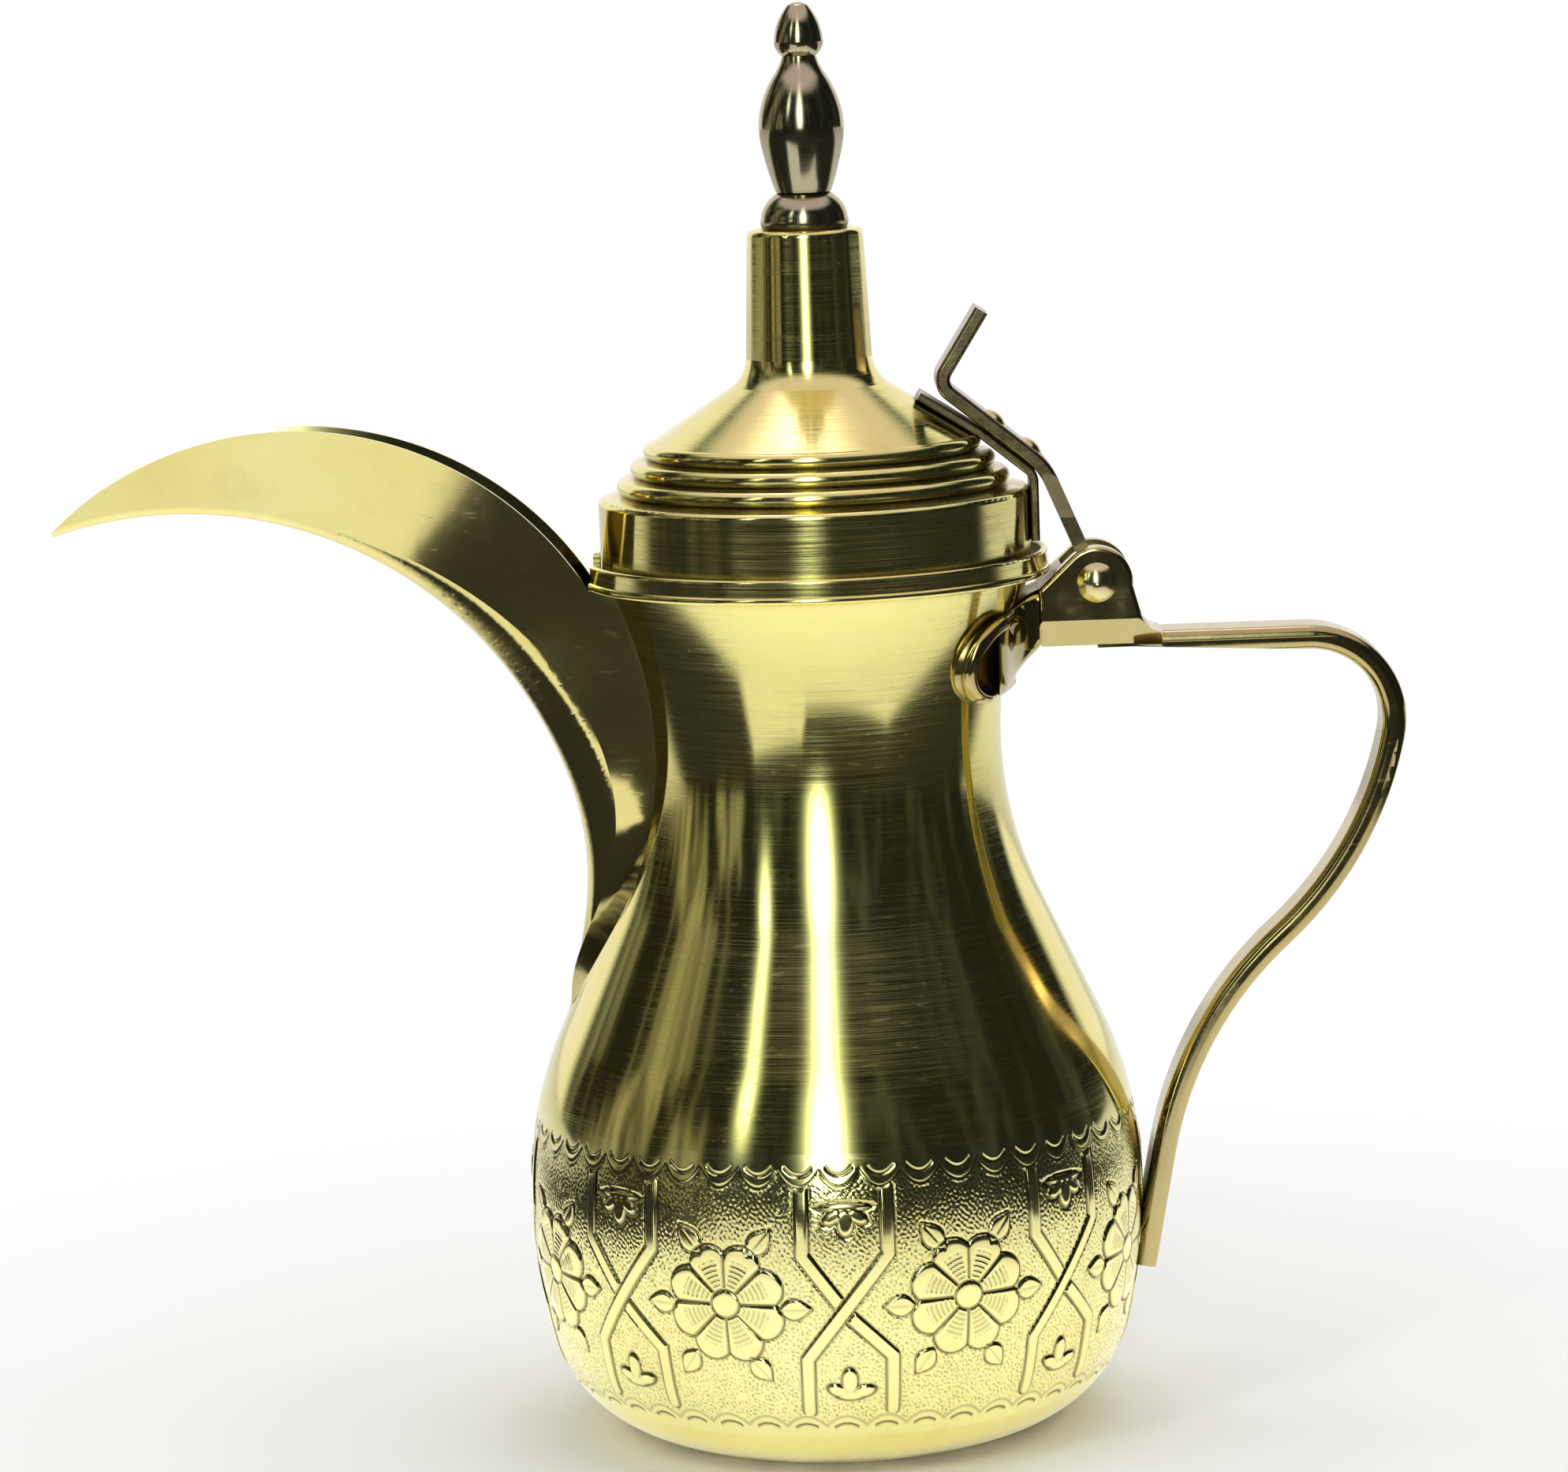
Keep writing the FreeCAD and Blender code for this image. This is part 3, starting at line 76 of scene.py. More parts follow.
# %% Camera
LOOK_AT = Vector((-0.00796, 0.0, 0.1469))
DISTANCE, LENS, SENSOR, CLIP_START = 1.168, 127.5, 36.0, 0.05
ELEVATION, ROLL = math.radians(8.6), math.radians(-2.0)

camera = bpy.data.objects.new("camera", bpy.data.cameras.new("camera"))
scene.collection.objects.link(camera)
camera.data.sensor_width = SENSOR
camera.data.lens = LENS
camera.data.clip_start = CLIP_START
ahead = Vector((0.0, math.cos(ELEVATION), -math.sin(ELEVATION)))
upward = Vector((0.0, math.sin(ELEVATION), math.cos(ELEVATION)))
aimed = Matrix((Vector((1, 0, 0)), upward, -ahead)).transposed().to_4x4()
stand = Matrix.Translation(LOOK_AT - DISTANCE * ahead)
camera.matrix_world = stand @ aimed @ Matrix.Rotation(ROLL, 4, "Z")
scene.camera = camera
print("camera at", [round(v, 3) for v in camera.matrix_world.translation])

# %% [markdown]
# ## Building node trees
# A shader is a small network. Writing each node by hand takes many lines, so
# one helper adds a node, sets its values and joins its inputs in one call: a
# number or colour is set on the socket, and an output socket is linked to it.
# The others are short names for the nodes that are needed most often.

# %% Node helpers
def add_node(tree, kind, links=None, **settings):
    node = tree.nodes.new(kind)
    for key, value in settings.items():
        setattr(node, key, value)
    for key, value in (links or {}).items():
        socket = node.inputs[key]
        if isinstance(value, bpy.types.NodeSocket):
            tree.links.new(value, socket)
        else:
            socket.default_value = value
    return node


def maths(tree, operation, a, b=0.0):
    return add_node(tree, "ShaderNodeMath", {0: a, 1: b}, operation=operation).outputs[0]


def times(tree, a, b):
    return maths(tree, "MULTIPLY", a, b)


def plus(tree, first, *others):
    for value in others:
        first = maths(tree, "ADD", first, value)
    return first


def fade(tree, value, low, high, to_low=0.0, to_high=1.0):
    """Smooth step of a value between two limits."""
    links = {"Value": value, "From Min": low, "From Max": high}
    links.update({"To Min": to_low, "To Max": to_high})
    step = add_node(tree, "ShaderNodeMapRange", links, interpolation_type="SMOOTHSTEP")
    return step.outputs["Result"]


def noise_of(tree, vector, scale, detail, rough=0.5):
    links = {"Vector": vector, "Scale": scale, "Detail": detail, "Roughness": rough}
    return add_node(tree, "ShaderNodeTexNoise", links).outputs["Fac"]


def vectors(tree, operation, links, output=0):
    return add_node(tree, "ShaderNodeVectorMath", links, operation=operation).outputs[output]


def blend_colours(tree, factor, first, second):
    links = {"Factor": factor, 6: first, 7: second}
    return add_node(tree, "ShaderNodeMix", links, data_type="RGBA").outputs[2]


print("node helpers ready")

# %% [markdown]
# ## Floor
# The pot stands on a plain pale floor. One large square is enough for it. It
# lies a fifth of a millimetre low, so that it never shares a plane with the
# underside of the pot.

# %% Floor
FLOOR_HALF, FLOOR_DROP = 4.0, 0.0002
CORNERS = ((-1, -1), (1, -1), (1, 1), (-1, 1))
floor_mesh = bpy.data.meshes.new("floor")
spots = [(x * FLOOR_HALF, y * FLOOR_HALF, 0) for x, y in CORNERS]
floor_mesh.from_pydata(spots, [], [(0, 1, 2, 3)])
floor = bpy.data.objects.new("floor", floor_mesh)
scene.collection.objects.link(floor)
floor.location.z = -FLOOR_DROP
print("floor", 2 * FLOOR_HALF, "m wide")

# %% [markdown]
# ## What the metal sees of the floor
# Polished metal is a picture of what is round it. The belly and the flare of the
# neck mirror the floor, and the walls between them mirror the room, so the edge
# of the pale floor draws the dark shapes on the pot. Rays that come from a
# mirror (glossy rays) see a sheet that ends a little way in front of the pot and
# to both sides. On the left, where the spout looks, it runs out further.

# %% Edge of the mirrored sheet
SHEET_FRONT, SHEET_LEFT, SHEET_RIGHT = 0.36, 0.22, 0.30
FRONT_SLANT, FRONT_FROM, FRONT_MOST = 2.6, -0.06, 0.20
LEFT_SLANT, LEFT_FROM = 0.8, -0.20
FRONT_SOFT, SIDE_SOFT = 0.04, 0.05
BACK_CLEAR, BACK_EDGED = 0.45, 0.20

paper = bpy.data.materials.new("floor_paper")
paper.use_nodes = True
tree = paper.node_tree
tree.nodes.clear()
place = add_node(tree, "ShaderNodeNewGeometry").outputs["Position"]
axes = add_node(tree, "ShaderNodeSeparateXYZ", {0: place}).outputs
reach = times(tree, maths(tree, "SUBTRACT", FRONT_FROM, axes["X"]), FRONT_SLANT)
reach = maths(tree, "MINIMUM", maths(tree, "MAXIMUM", reach, 0.0), FRONT_MOST)
forward = plus(tree, axes["Y"], reach)
ahead_of = maths(tree, "MINIMUM", maths(tree, "SUBTRACT", axes["Y"], LEFT_FROM), 0.0)
aside = maths(tree, "SUBTRACT", axes["X"], times(tree, ahead_of, LEFT_SLANT))
front = fade(tree, forward, -SHEET_FRONT, -SHEET_FRONT - FRONT_SOFT)
left = fade(tree, aside, -SHEET_LEFT, -SHEET_LEFT - SIDE_SOFT)
right = fade(tree, axes["X"], SHEET_RIGHT, SHEET_RIGHT + SIDE_SOFT)
edge = maths(tree, "MAXIMUM", maths(tree, "MAXIMUM", front, left), right)
edge = times(tree, edge, fade(tree, axes["Y"], BACK_CLEAR, BACK_EDGED))
print("sheet reaches", SHEET_FRONT, "m forward,", SHEET_FRONT + FRONT_MOST, "m on the left")

# %% [markdown]
# The paper itself is a plain matt white that takes the pot's soft shadow. Away
# from the pot, rays from the camera see it melt into clear white. Near the pot
# it is a little brighter in the metal, which gives the foot its pale rim.

# %% Floor paper
WHITE = (1, 1, 1, 1)
PAPER, BEYOND = (0.90, 0.90, 0.89, 1), (0.03, 0.03, 0.027, 1)
CLEAR_FROM, CLEAR_FULL = 0.10, 0.34
NEAR_GLOW, GLOW_FROM, GLOW_FULL = 0.36, 0.32, 0.10

rays = add_node(tree, "ShaderNodeLightPath").outputs
away = vectors(tree, "LENGTH", {0: place}, "Value")
tone = blend_colours(tree, times(tree, edge, rays["Is Glossy Ray"]), PAPER, BEYOND)
sheet = add_node(tree, "ShaderNodeBsdfDiffuse", {"Color": tone})
near = fade(tree, away, GLOW_FROM, GLOW_FULL, 0.0, NEAR_GLOW)
near = times(tree, near, rays["Is Glossy Ray"])
lift = add_node(tree, "ShaderNodeEmission", {"Color": WHITE, "Strength": near})
lit = add_node(tree, "ShaderNodeAddShader", {0: sheet.outputs[0], 1: lift.outputs[0]})
glow = add_node(tree, "ShaderNodeEmission", {"Color": WHITE, "Strength": 1.0})
clear = times(tree, fade(tree, away, CLEAR_FROM, CLEAR_FULL), rays["Is Camera Ray"])
links = {0: clear, 1: lit.outputs[0], 2: glow.outputs[0]}
surface = add_node(tree, "ShaderNodeMixShader", links)
add_node(tree, "ShaderNodeOutputMaterial", {"Surface": surface.outputs[0]})
floor_mesh.materials.append(paper)
print("floor paper:", len(tree.nodes), "nodes")

# %% [markdown]
# ## Room
# The room that the metal mirrors is dim, with uneven upright shapes, a paler
# ceiling, a bright backdrop behind the pot and some warm light from the left. It
# is made of noise and smooth steps of the direction, so it needs no picture.

# %% Walls and ceiling
WALL_STRETCH = (4.0, 4.0, 0.8)
SHAPE_SCALE, SHAPE_DETAIL = 1.6, 2.0

world = bpy.data.worlds.new("room")
scene.world = world
world.use_nodes = True
tree = world.node_tree
tree.nodes.clear()
facing = add_node(tree, "ShaderNodeTexCoord").outputs["Generated"]
axes = add_node(tree, "ShaderNodeSeparateXYZ", {0: facing}).outputs
stretched = vectors(tree, "MULTIPLY", {0: facing, 1: WALL_STRETCH})
shapes = noise_of(tree, stretched, SHAPE_SCALE, SHAPE_DETAIL)
leftward = fade(tree, axes["X"], -0.55, -0.95, 0.0, 0.35)
walls = fade(tree, shapes, 0.45, 0.75, 0.015, 0.07)
walls = plus(tree, walls, times(tree, leftward, fade(tree, shapes, 0.42, 0.62)))
ceiling = fade(tree, axes["Z"], 0.62, 0.80, 0.0, 0.85)
backdrop = fade(tree, axes["Y"], 0.62, 0.74)
room = maths(tree, "MAXIMUM", plus(tree, walls, ceiling), backdrop)
print("room walls:", len(tree.nodes), "nodes")

# %% [markdown]
# Two soft lamps stand in front, one beside the lens and a tall one further left,
# and a third glow hangs overhead. Their bare shapes would print hard squares on
# the metal, so the metal sees bell-shaped glows that fade at their edges. The
# first two are given as bearing, height, the two spreads and strength.

# %% Glows
GLOWS = [(-4.0, 20.0, 6.0, 21.0, 8.0), (-38.0, 29.0, 3.0, 12.0, 3.6)]
OVERHEAD = Vector((-0.05, 0.39, 0.92)).normalized()
OVERHEAD_SPREAD, OVERHEAD_STRENGTH = 9.0, 4.0


def squared(tree, angle, middle, spread):
    """Square of the distance from a middle angle, counted in spreads."""
    apart = maths(tree, "SUBTRACT", angle, math.radians(middle))
    share = maths(tree, "DIVIDE", apart, math.radians(spread))
    return times(tree, share, share)


def bell(tree, squares, strength):
    return times(tree, maths(tree, "EXPONENT", times(tree, squares, -1.0)), strength)


bearing = maths(tree, "ARCTAN2", axes["X"], times(tree, axes["Y"], -1.0))
rise = maths(tree, "ARCSINE", axes["Z"])
for turn, lift, wide, tall, strength in GLOWS:
    squares = plus(tree, squared(tree, bearing, turn, wide), squared(tree, rise, lift, tall))
    room = plus(tree, room, bell(tree, squares, strength))
lined_up = vectors(tree, "DOT_PRODUCT", {0: facing, 1: OVERHEAD}, "Value")
off_axis = maths(tree, "ARCCOSINE", maths(tree, "MINIMUM", lined_up, 1.0))
squares = squared(tree, off_axis, 0.0, OVERHEAD_SPREAD)
room = plus(tree, room, bell(tree, squares, OVERHEAD_STRENGTH))
print("glows:", len(GLOWS) + 1)

# %% [markdown]
# One world serves three kinds of rays: the camera sees white, matt surfaces get
# an even soft light, and the metal sees the dim room. A light path node picks
# between them. The view transform is Standard, so that white stays white.

# %% What each ray sees
ROOM_COOL, ROOM_WARM = (0.90, 1.0, 0.92, 1), (1.0, 0.88, 0.55, 1)
BACKDROP_TONE, CEILING_TONE = (1.0, 0.96, 0.93, 1), (0.96, 0.80, 1.0, 1)
WARMING, SOFT_LIGHT = 2.0, 0.62

room_tone = blend_colours(tree, times(tree, leftward, WARMING), ROOM_COOL, ROOM_WARM)
room_tone = blend_colours(tree, backdrop, room_tone, BACKDROP_TONE)
room_tone = blend_colours(tree, ceiling, room_tone, CEILING_TONE)
dim, soft, white = (
    add_node(tree, "ShaderNodeBackground", {"Color": tone, "Strength": strength}).outputs[0]
    for tone, strength in ((room_tone, room), (WHITE, SOFT_LIGHT), (WHITE, 1.0))
)
rays = add_node(tree, "ShaderNodeLightPath").outputs
links = {0: rays["Is Glossy Ray"], 1: soft, 2: dim}
mirrored = add_node(tree, "ShaderNodeMixShader", links).outputs[0]
links = {0: rays["Is Camera Ray"], 1: mirrored, 2: white}
seen = add_node(tree, "ShaderNodeMixShader", links).outputs[0]
add_node(tree, "ShaderNodeOutputWorld", {0: seen})
scene.view_settings.view_transform = "Standard"
print("room ready:", len(tree.nodes), "nodes")

# %% [markdown]
# ## Lamps
# Three area lamps give the floor its soft shadow and the brass its light. The
# metal already sees the glows of the room, so the lamps themselves are hidden
# from it. Each has a place, the point it aims at, a width and height, and watts.

# %% Lamps
LAMPS = {
    "lamp_over": ((0.3, 0.2, 1.9), (0, 0, 0), (1.6, 1.2), 14.0),
    "lamp_front": ((-0.09, -1.6, 0.50), (0, 0, 0.16), (0.26, 0.40), 5.0),
    "lamp_left": ((-0.868, -1.11, 0.85), (0, 0, 0.10), (0.14, 0.6), 3.0),
}
for name, (place, aim, size, power) in LAMPS.items():
    data = bpy.data.lights.new(name, "AREA")
    data.shape = "RECTANGLE"
    data.size, data.size_y = size
    data.energy = power
    lamp = bpy.data.objects.new(name, data)
    scene.collection.objects.link(lamp)
    lamp.location = place
    lamp.visible_glossy = False
    toward = Vector(aim) - Vector(place)
    lamp.rotation_euler = toward.to_track_quat("-Z", "Y").to_euler()
print("lamps:", len(LAMPS))

# %% [markdown]
# ## Marks of making
# Spinning and polishing leave fine rings round the axis, so the marks vary fast
# with height and slowly round the pot. They bend each highlight into an upright
# streak. They could be cut into the mesh, but at a few microns a bump is enough.
# The rings are a node group, so every brass can take its own amount.

# %% Ring marks
RING_STRETCHES = ((30.0, 30.0, 9000.0), (50.0, 50.0, 4200.0))


def new_group(name, inputs, outputs):
    """A shader node group with float inputs and outputs: the tree and its two ends."""
    tree = bpy.data.node_groups.new(name, "ShaderNodeTree")
    for label, value in inputs.items():
        socket = tree.interface.new_socket(label, in_out="INPUT", socket_type="NodeSocketFloat")
        socket.default_value = value
    for label in outputs:
        tree.interface.new_socket(label, in_out="OUTPUT", socket_type="NodeSocketFloat")
    given = tree.nodes.new("NodeGroupInput").outputs
    return tree, given, tree.nodes.new("NodeGroupOutput").inputs


tree, given, result = new_group(
    "ring marks", {"Fineness": 1.0, "Depth": 1.0}, ("Height", "Sheen"))
ring_marks = tree
place = add_node(tree, "ShaderNodeTexCoord").outputs["Object"]
layers = []
for stretch in RING_STRETCHES:
    rings = vectors(tree, "MULTIPLY", {0: place, 1: stretch})
    finer = vectors(tree, "SCALE", {0: rings, "Scale": given["Fineness"]})
    layers.append(noise_of(tree, finer, 1.0, 2.0))
height = times(tree, plus(tree, *layers), 0.5)
tree.links.new(times(tree, height, given["Depth"]), result["Height"])
tree.links.new(fade(tree, height, 0.34, 0.74), result["Sheen"])
print("group:", ring_marks.name)

# %% [markdown]
# Handling leaves short hair scratches in all directions. Noise that is stretched
# along one axis and cut off near its top gives thin strokes, and three turns of
# it cross each other the way real scratches do.

# %% Hair scratches
HAIR_TURNS, HAIR_STRETCH = (0.35, 1.25, 2.2), (26.0, 900.0, 900.0)

tree, given, result = new_group("hair scratches", {"Amount": 0.5}, ("Mask",))
hair_scratches = tree
place = add_node(tree, "ShaderNodeTexCoord").outputs["Object"]
mask = 0.0
for angle in HAIR_TURNS:
    turns = (angle, angle * 1.7, angle * 0.6)
    links = {"Vector": place, "Rotation": turns, "Scale": HAIR_STRETCH}
    turned = add_node(tree, "ShaderNodeMapping", links).outputs[0]
    line = fade(tree, noise_of(tree, turned, 1.0, 1.0), 0.70, 0.76)
    mask = maths(tree, "MAXIMUM", line, mask)
tree.links.new(times(tree, mask, given["Amount"]), result["Mask"])
print("group:", hair_scratches.name)

# %% [markdown]
# The first output is painted shade: ambient occlusion finds the corners that are
# hidden from the light, on every piece, and noise breaks them up. A second output
# gives the faint brown clouds that bloom on the open metal.

# %% Tarnish and corner shade
tree, given, result = new_group(
    "tarnish_and_shade", {"Reach": 0.004, "Clouds": 0.3}, ("Shaded Corner", "Bloom"))
tarnish_and_shade = tree
place = add_node(tree, "ShaderNodeTexCoord").outputs["Object"]
links = {"Distance": given["Reach"]}
shade = add_node(tree, "ShaderNodeAmbientOcclusion", links, samples=8)
patches = noise_of(tree, place, 70.0, 5.0, 0.65)
specks = noise_of(tree, place, 420.0, 3.0)
hidden = maths(tree, "SUBTRACT", 1.0, shade.outputs["AO"])
broken = fade(tree, patches, 0.25, 0.6, 0.45, 1.0)
# Painted shade: the more ambient occlusion hides a point, the browner it is painted later.
shaded_corner = times(tree, fade(tree, hidden, 0.10, 0.62), broken)
bloom = times(tree, fade(tree, patches, 0.45, 0.78), given["Clouds"])
bloom = times(tree, bloom, fade(tree, specks, 0.3, 0.65, 0.4, 1.0))
tree.links.new(shaded_corner, result["Shaded Corner"])
tree.links.new(bloom, result["Bloom"])
print("group:", tarnish_and_shade.name)

# %% [markdown]
# ## Brass
# One recipe makes every brass: a pale greenish gold, browned by the clouds that
# bloom on it and by painted shade in its corners, rougher where it is scratched or
# blooming. Spun pieces take ring marks and a sheen drawn out along the axis; cast
# pieces take a pitted skin instead.
# The ornament band also reads a colour attribute of its mesh: red holds the
# chased lines, green the matted ground and blue the pits in it, which are browned
# with the shaded corners.

# %% Brass recipe
DEEPER, BLOOM_BROWN = (0.95, 0.92, 0.80), (0.50, 0.40, 0.17, 1)
CORNER_SHADE_BROWN, LINE_BROWN = (0.16, 0.115, 0.04, 1), (0.05, 0.038, 0.014, 1)
BLOOM_DULL, CORNER_DULL, HAIR_DULL, MATTED_DULL = 0.22, 0.25, 0.12, 0.03
LINE_DARK, PIT_DARK, HAIR_DEPTH, WAVE_DEPTH = 0.95, 0.65, -0.35, 4
BUMP_STRENGTH, BUMP_DEPTH, ACROSS = 0.35, 0.00002, 0.25


def brass(name, gold, rough, rings=0.0, fineness=1.0, pits=0.0, scratches=0.4,
          clouds=0.3, corner_shade=0.7, drawn=0.0, drag=0.05, carved=False):
    material = bpy.data.materials.new(name)
    material.use_nodes = True
    tree = material.node_tree
    shader = tree.nodes["Principled BSDF"]
    place = add_node(tree, "ShaderNodeTexCoord").outputs["Object"]
    mottle = noise_of(tree, place, 24.0, 4.0)
    age_and_shade = add_node(tree, "ShaderNodeGroup", {"Clouds": clouds}, node_tree=tarnish_and_shade).outputs
    hairs = add_node(tree, "ShaderNodeGroup", {"Amount": scratches}, node_tree=hair_scratches)
    hairs = hairs.outputs["Mask"]
    # Painted shade: the occluded corners brown the colour further down, and they also make the
    # metal rougher.
    corner_shade_and_pits = times(tree, age_and_shade["Shaded Corner"], corner_shade)
    dulls = [
        times(tree, age_and_shade["Bloom"], BLOOM_DULL), times(tree, corner_shade_and_pits, CORNER_DULL),
        times(tree, hairs, HAIR_DULL),
        fade(tree, mottle, 0.25, 0.75, rough * 0.85, rough * 1.15),
    ]
    heights = [times(tree, hairs, HAIR_DEPTH)]
    if rings:
        links = {"Fineness": fineness, "Depth": rings}
        turning = add_node(tree, "ShaderNodeGroup", links, node_tree=ring_marks).outputs
        heights.append(turning["Height"])
        dulls.append(times(tree, turning["Sheen"], drag))
    if pits:
        heights.append(times(tree, noise_of(tree, place, 900.0, 4.0, 0.6), pits))
        heights.append(times(tree, noise_of(tree, place, 160.0, 2.0), pits * WAVE_DEPTH))
    deep = [c * k for c, k in zip(gold, DEEPER)]
    colour = blend_colours(tree, fade(tree, mottle, 0.3, 0.72), (*gold, 1), (*deep, 1))
    colour = blend_colours(tree, age_and_shade["Bloom"], colour, BLOOM_BROWN)
    if carved:
        cut = add_node(tree, "ShaderNodeAttribute", attribute_name="chasing").outputs["Color"]
        parts = add_node(tree, "ShaderNodeSeparateColor", {0: cut}).outputs
        corner_shade_and_pits = maths(tree, "MAXIMUM", corner_shade_and_pits, times(tree, parts["Blue"], PIT_DARK))
        dulls.append(times(tree, parts["Green"], MATTED_DULL))
        heights.append(times(tree, noise_of(tree, place, 1500.0, 3.0), parts["Green"]))
    # The occluded corners are painted brown as shade; the pits of the band are browned with them.
    colour = blend_colours(tree, corner_shade_and_pits, colour, CORNER_SHADE_BROWN)
    if carved:
        line = times(tree, parts["Red"], LINE_DARK)
        colour = blend_colours(tree, line, colour, LINE_BROWN)
    links = {"Strength": BUMP_STRENGTH, "Distance": BUMP_DEPTH, "Height": plus(tree, *heights)}
    bump = add_node(tree, "ShaderNodeBump", links)
    shader.inputs["Metallic"].default_value = 1.0
    shader.inputs["Anisotropic"].default_value = drawn
    shader.inputs["Anisotropic Rotation"].default_value = ACROSS
    tree.links.new(colour, shader.inputs["Base Color"])
    tree.links.new(plus(tree, *dulls), shader.inputs["Roughness"])
    tree.links.new(bump.outputs[0], shader.inputs["Normal"])
    if drawn:
        around = add_node(tree, "ShaderNodeTangent", direction_type="RADIAL", axis="Z")
        tree.links.new(around.outputs[0], shader.inputs["Tangent"])
    return material


print("brass recipe ready")

# %% [markdown]
# Ten mixes cover the pot. The spun body, lid and collar are the same metal with
# coarser ring marks from one to the next. The handle and lever are sand cast and
# handled most, and their darker gold is painted shade for the dim room they
# mirror. The finial is a greyer turned bar, also darkened as painted shade.

# %% Ten brasses
# Painted highlight: BAND_GOLD is paler than GOLD, standing in for the bright floor that the band
# mirrors.
GOLD, BAND_GOLD, SHEET_GOLD = (0.87, 0.80, 0.32), (0.91, 0.86, 0.40), (0.86, 0.77, 0.33)
# Painted shade: these darker golds stand in for the dim room that the handle, the lever and the
# finial mirror; the finial's greyer tone is its own.
CAST_SHADED_GOLD, LEVER_SHADED_GOLD, TURNED_GOLD = (0.50, 0.42, 0.20), (0.24, 0.20, 0.12), (0.48, 0.43, 0.28)
RIVET_GOLD, INNER_GOLD = (0.72, 0.64, 0.34), (0.70, 0.58, 0.27)

spun_brass = brass("spun_brass", GOLD, 0.06, rings=0.02, fineness=1.3, drawn=0.9, drag=0.13,
                   clouds=0.12)
band_brass = brass("band_brass", BAND_GOLD, 0.08, rings=0.02, clouds=0.2, carved=True)
lid_brass = brass("lid_brass", GOLD, 0.07, rings=0.04, drawn=0.9, drag=0.16, clouds=0.2)
collar_brass = brass("collar_brass", GOLD, 0.07, rings=0.1, drawn=0.85, drag=0.18, clouds=0.3)
sheet_brass = brass("sheet_brass", SHEET_GOLD, 0.08, scratches=0.3, clouds=0.2, pits=0.05)
cast_brass = brass("cast_brass", CAST_SHADED_GOLD, 0.10, pits=0.6, scratches=0.6, clouds=0.6, corner_shade=0.95)
lever_brass = brass("lever_brass", LEVER_SHADED_GOLD, 0.20, pits=2.5, scratches=0.6, clouds=0.8,
                    corner_shade=0.95)
turned_brass = brass("turned_brass", TURNED_GOLD, 0.12, rings=0.05, clouds=0.25, corner_shade=0.9)
rivet_brass = brass("rivet_brass", RIVET_GOLD, 0.16, pits=0.8, clouds=0.5, corner_shade=0.9)
inner_brass = brass("inner_brass", INNER_GOLD, 0.35, rings=0.6, clouds=0.6)
print("brasses:", [m.name for m in bpy.data.materials if m.name.endswith("brass")])

# %% [markdown]
# ## Finish of each solid
# Most pieces of the pot are shown as the solids themselves, so they only need
# their metal. The body is left out, because a lathe mesh of its own will stand
# in for it.

# %% Finish of each solid
FINISHES = {
    "base_plate": spun_brass, "neck_collar": collar_brass, "spout": sheet_brass,
    "handle_socket": cast_brass, "handle": cast_brass, "hinge_pin": rivet_brass,
    "lid_shell": lid_brass, "lid_strap": lever_brass, "lid_lever": lever_brass,
    "lever_rivet_upper": rivet_brass, "lever_rivet_lower": rivet_brass,
    "finial_bead": turned_brass, "finial_baluster": turned_brass, "finial_tip": turned_brass,
    "finial_stud": inner_brass, "finial_washer": inner_brass, "finial_nut": inner_brass,
}
for name, material in FINISHES.items():
    solid = nodes[name]
    solid.data.materials.clear()
    solid.data.materials.append(material)
print("finished solids:", len(FINISHES))

# %% [markdown]
# ## Body outline
# The real body is spun on a lathe from one sheet, so its side is a run of arcs
# that meet without a corner: a round foot, a low belly, a shoulder, a straight
# slope and a hollow neck. The same arcs shape the solid. Writing the radius as
# a function of height lets every later piece sit exactly on that skin.

# %% Outline of the pot
NECK_AT, NECK_SWEEP = np.array((120.6, 146.5)), 83.0
SHOULDER_AT, SHOULDER_SWEEP = np.array((-19.1, 51.0)), 84.0
LOWER_AT, LOWER_SWEEP = np.array((-65.1, 51.0)), 130.0
FOOT_AT, FOOT_ROUND = np.array((34.274, 28.0)), 28.0
WALL, BASE_DISC, NECK_TOP = 1.4, 27.974, 180.5


def pot_joins(inset):
    """Where the arcs meet, for the skin that lies inset inside the outer one."""
    neck, shoulder = NECK_SWEEP + inset, SHOULDER_SWEEP - inset
    apart = NECK_AT - SHOULDER_AT
    between = math.acos((neck + shoulder) / math.hypot(*apart))
    slope = math.atan2(apart[1], apart[0]) - between
    along = np.array((math.cos(slope), math.sin(slope)))
    reach = FOOT_AT - LOWER_AT
    tuck = FOOT_AT[1] + (FOOT_ROUND - inset) * reach[1] / math.hypot(*reach)
    return NECK_AT - neck * along, SHOULDER_AT + shoulder * along, tuck


def arc_radius(z, at, sweep, side=1):
    return at[0] + side * np.sqrt(np.maximum(sweep * sweep - (z - at[1]) ** 2, 0.0))


def pot_radius(z, inset=0.0):
    hip, brow, tuck = pot_joins(inset)
    z = np.asarray(z, float)
    neck = arc_radius(z, NECK_AT, NECK_SWEEP + inset, -1)
    slope = brow[0] + (hip[0] - brow[0]) * (z - brow[1]) / (hip[1] - brow[1])
    shoulder = arc_radius(z, SHOULDER_AT, SHOULDER_SWEEP - inset)
    belly = arc_radius(z, LOWER_AT, LOWER_SWEEP - inset)
    foot = arc_radius(z, FOOT_AT, FOOT_ROUND - inset)
    limits = [z >= hip[1], z >= brow[1], z >= SHOULDER_AT[1], z >= tuck]
    return np.select(limits, [neck, slope, shoulder, belly], foot)


for z in (15.0, 51.0, 100.0, 146.5, 180.0):
    print("height", z, "mm: radius", round(float(pot_radius(z)), 2), "mm")

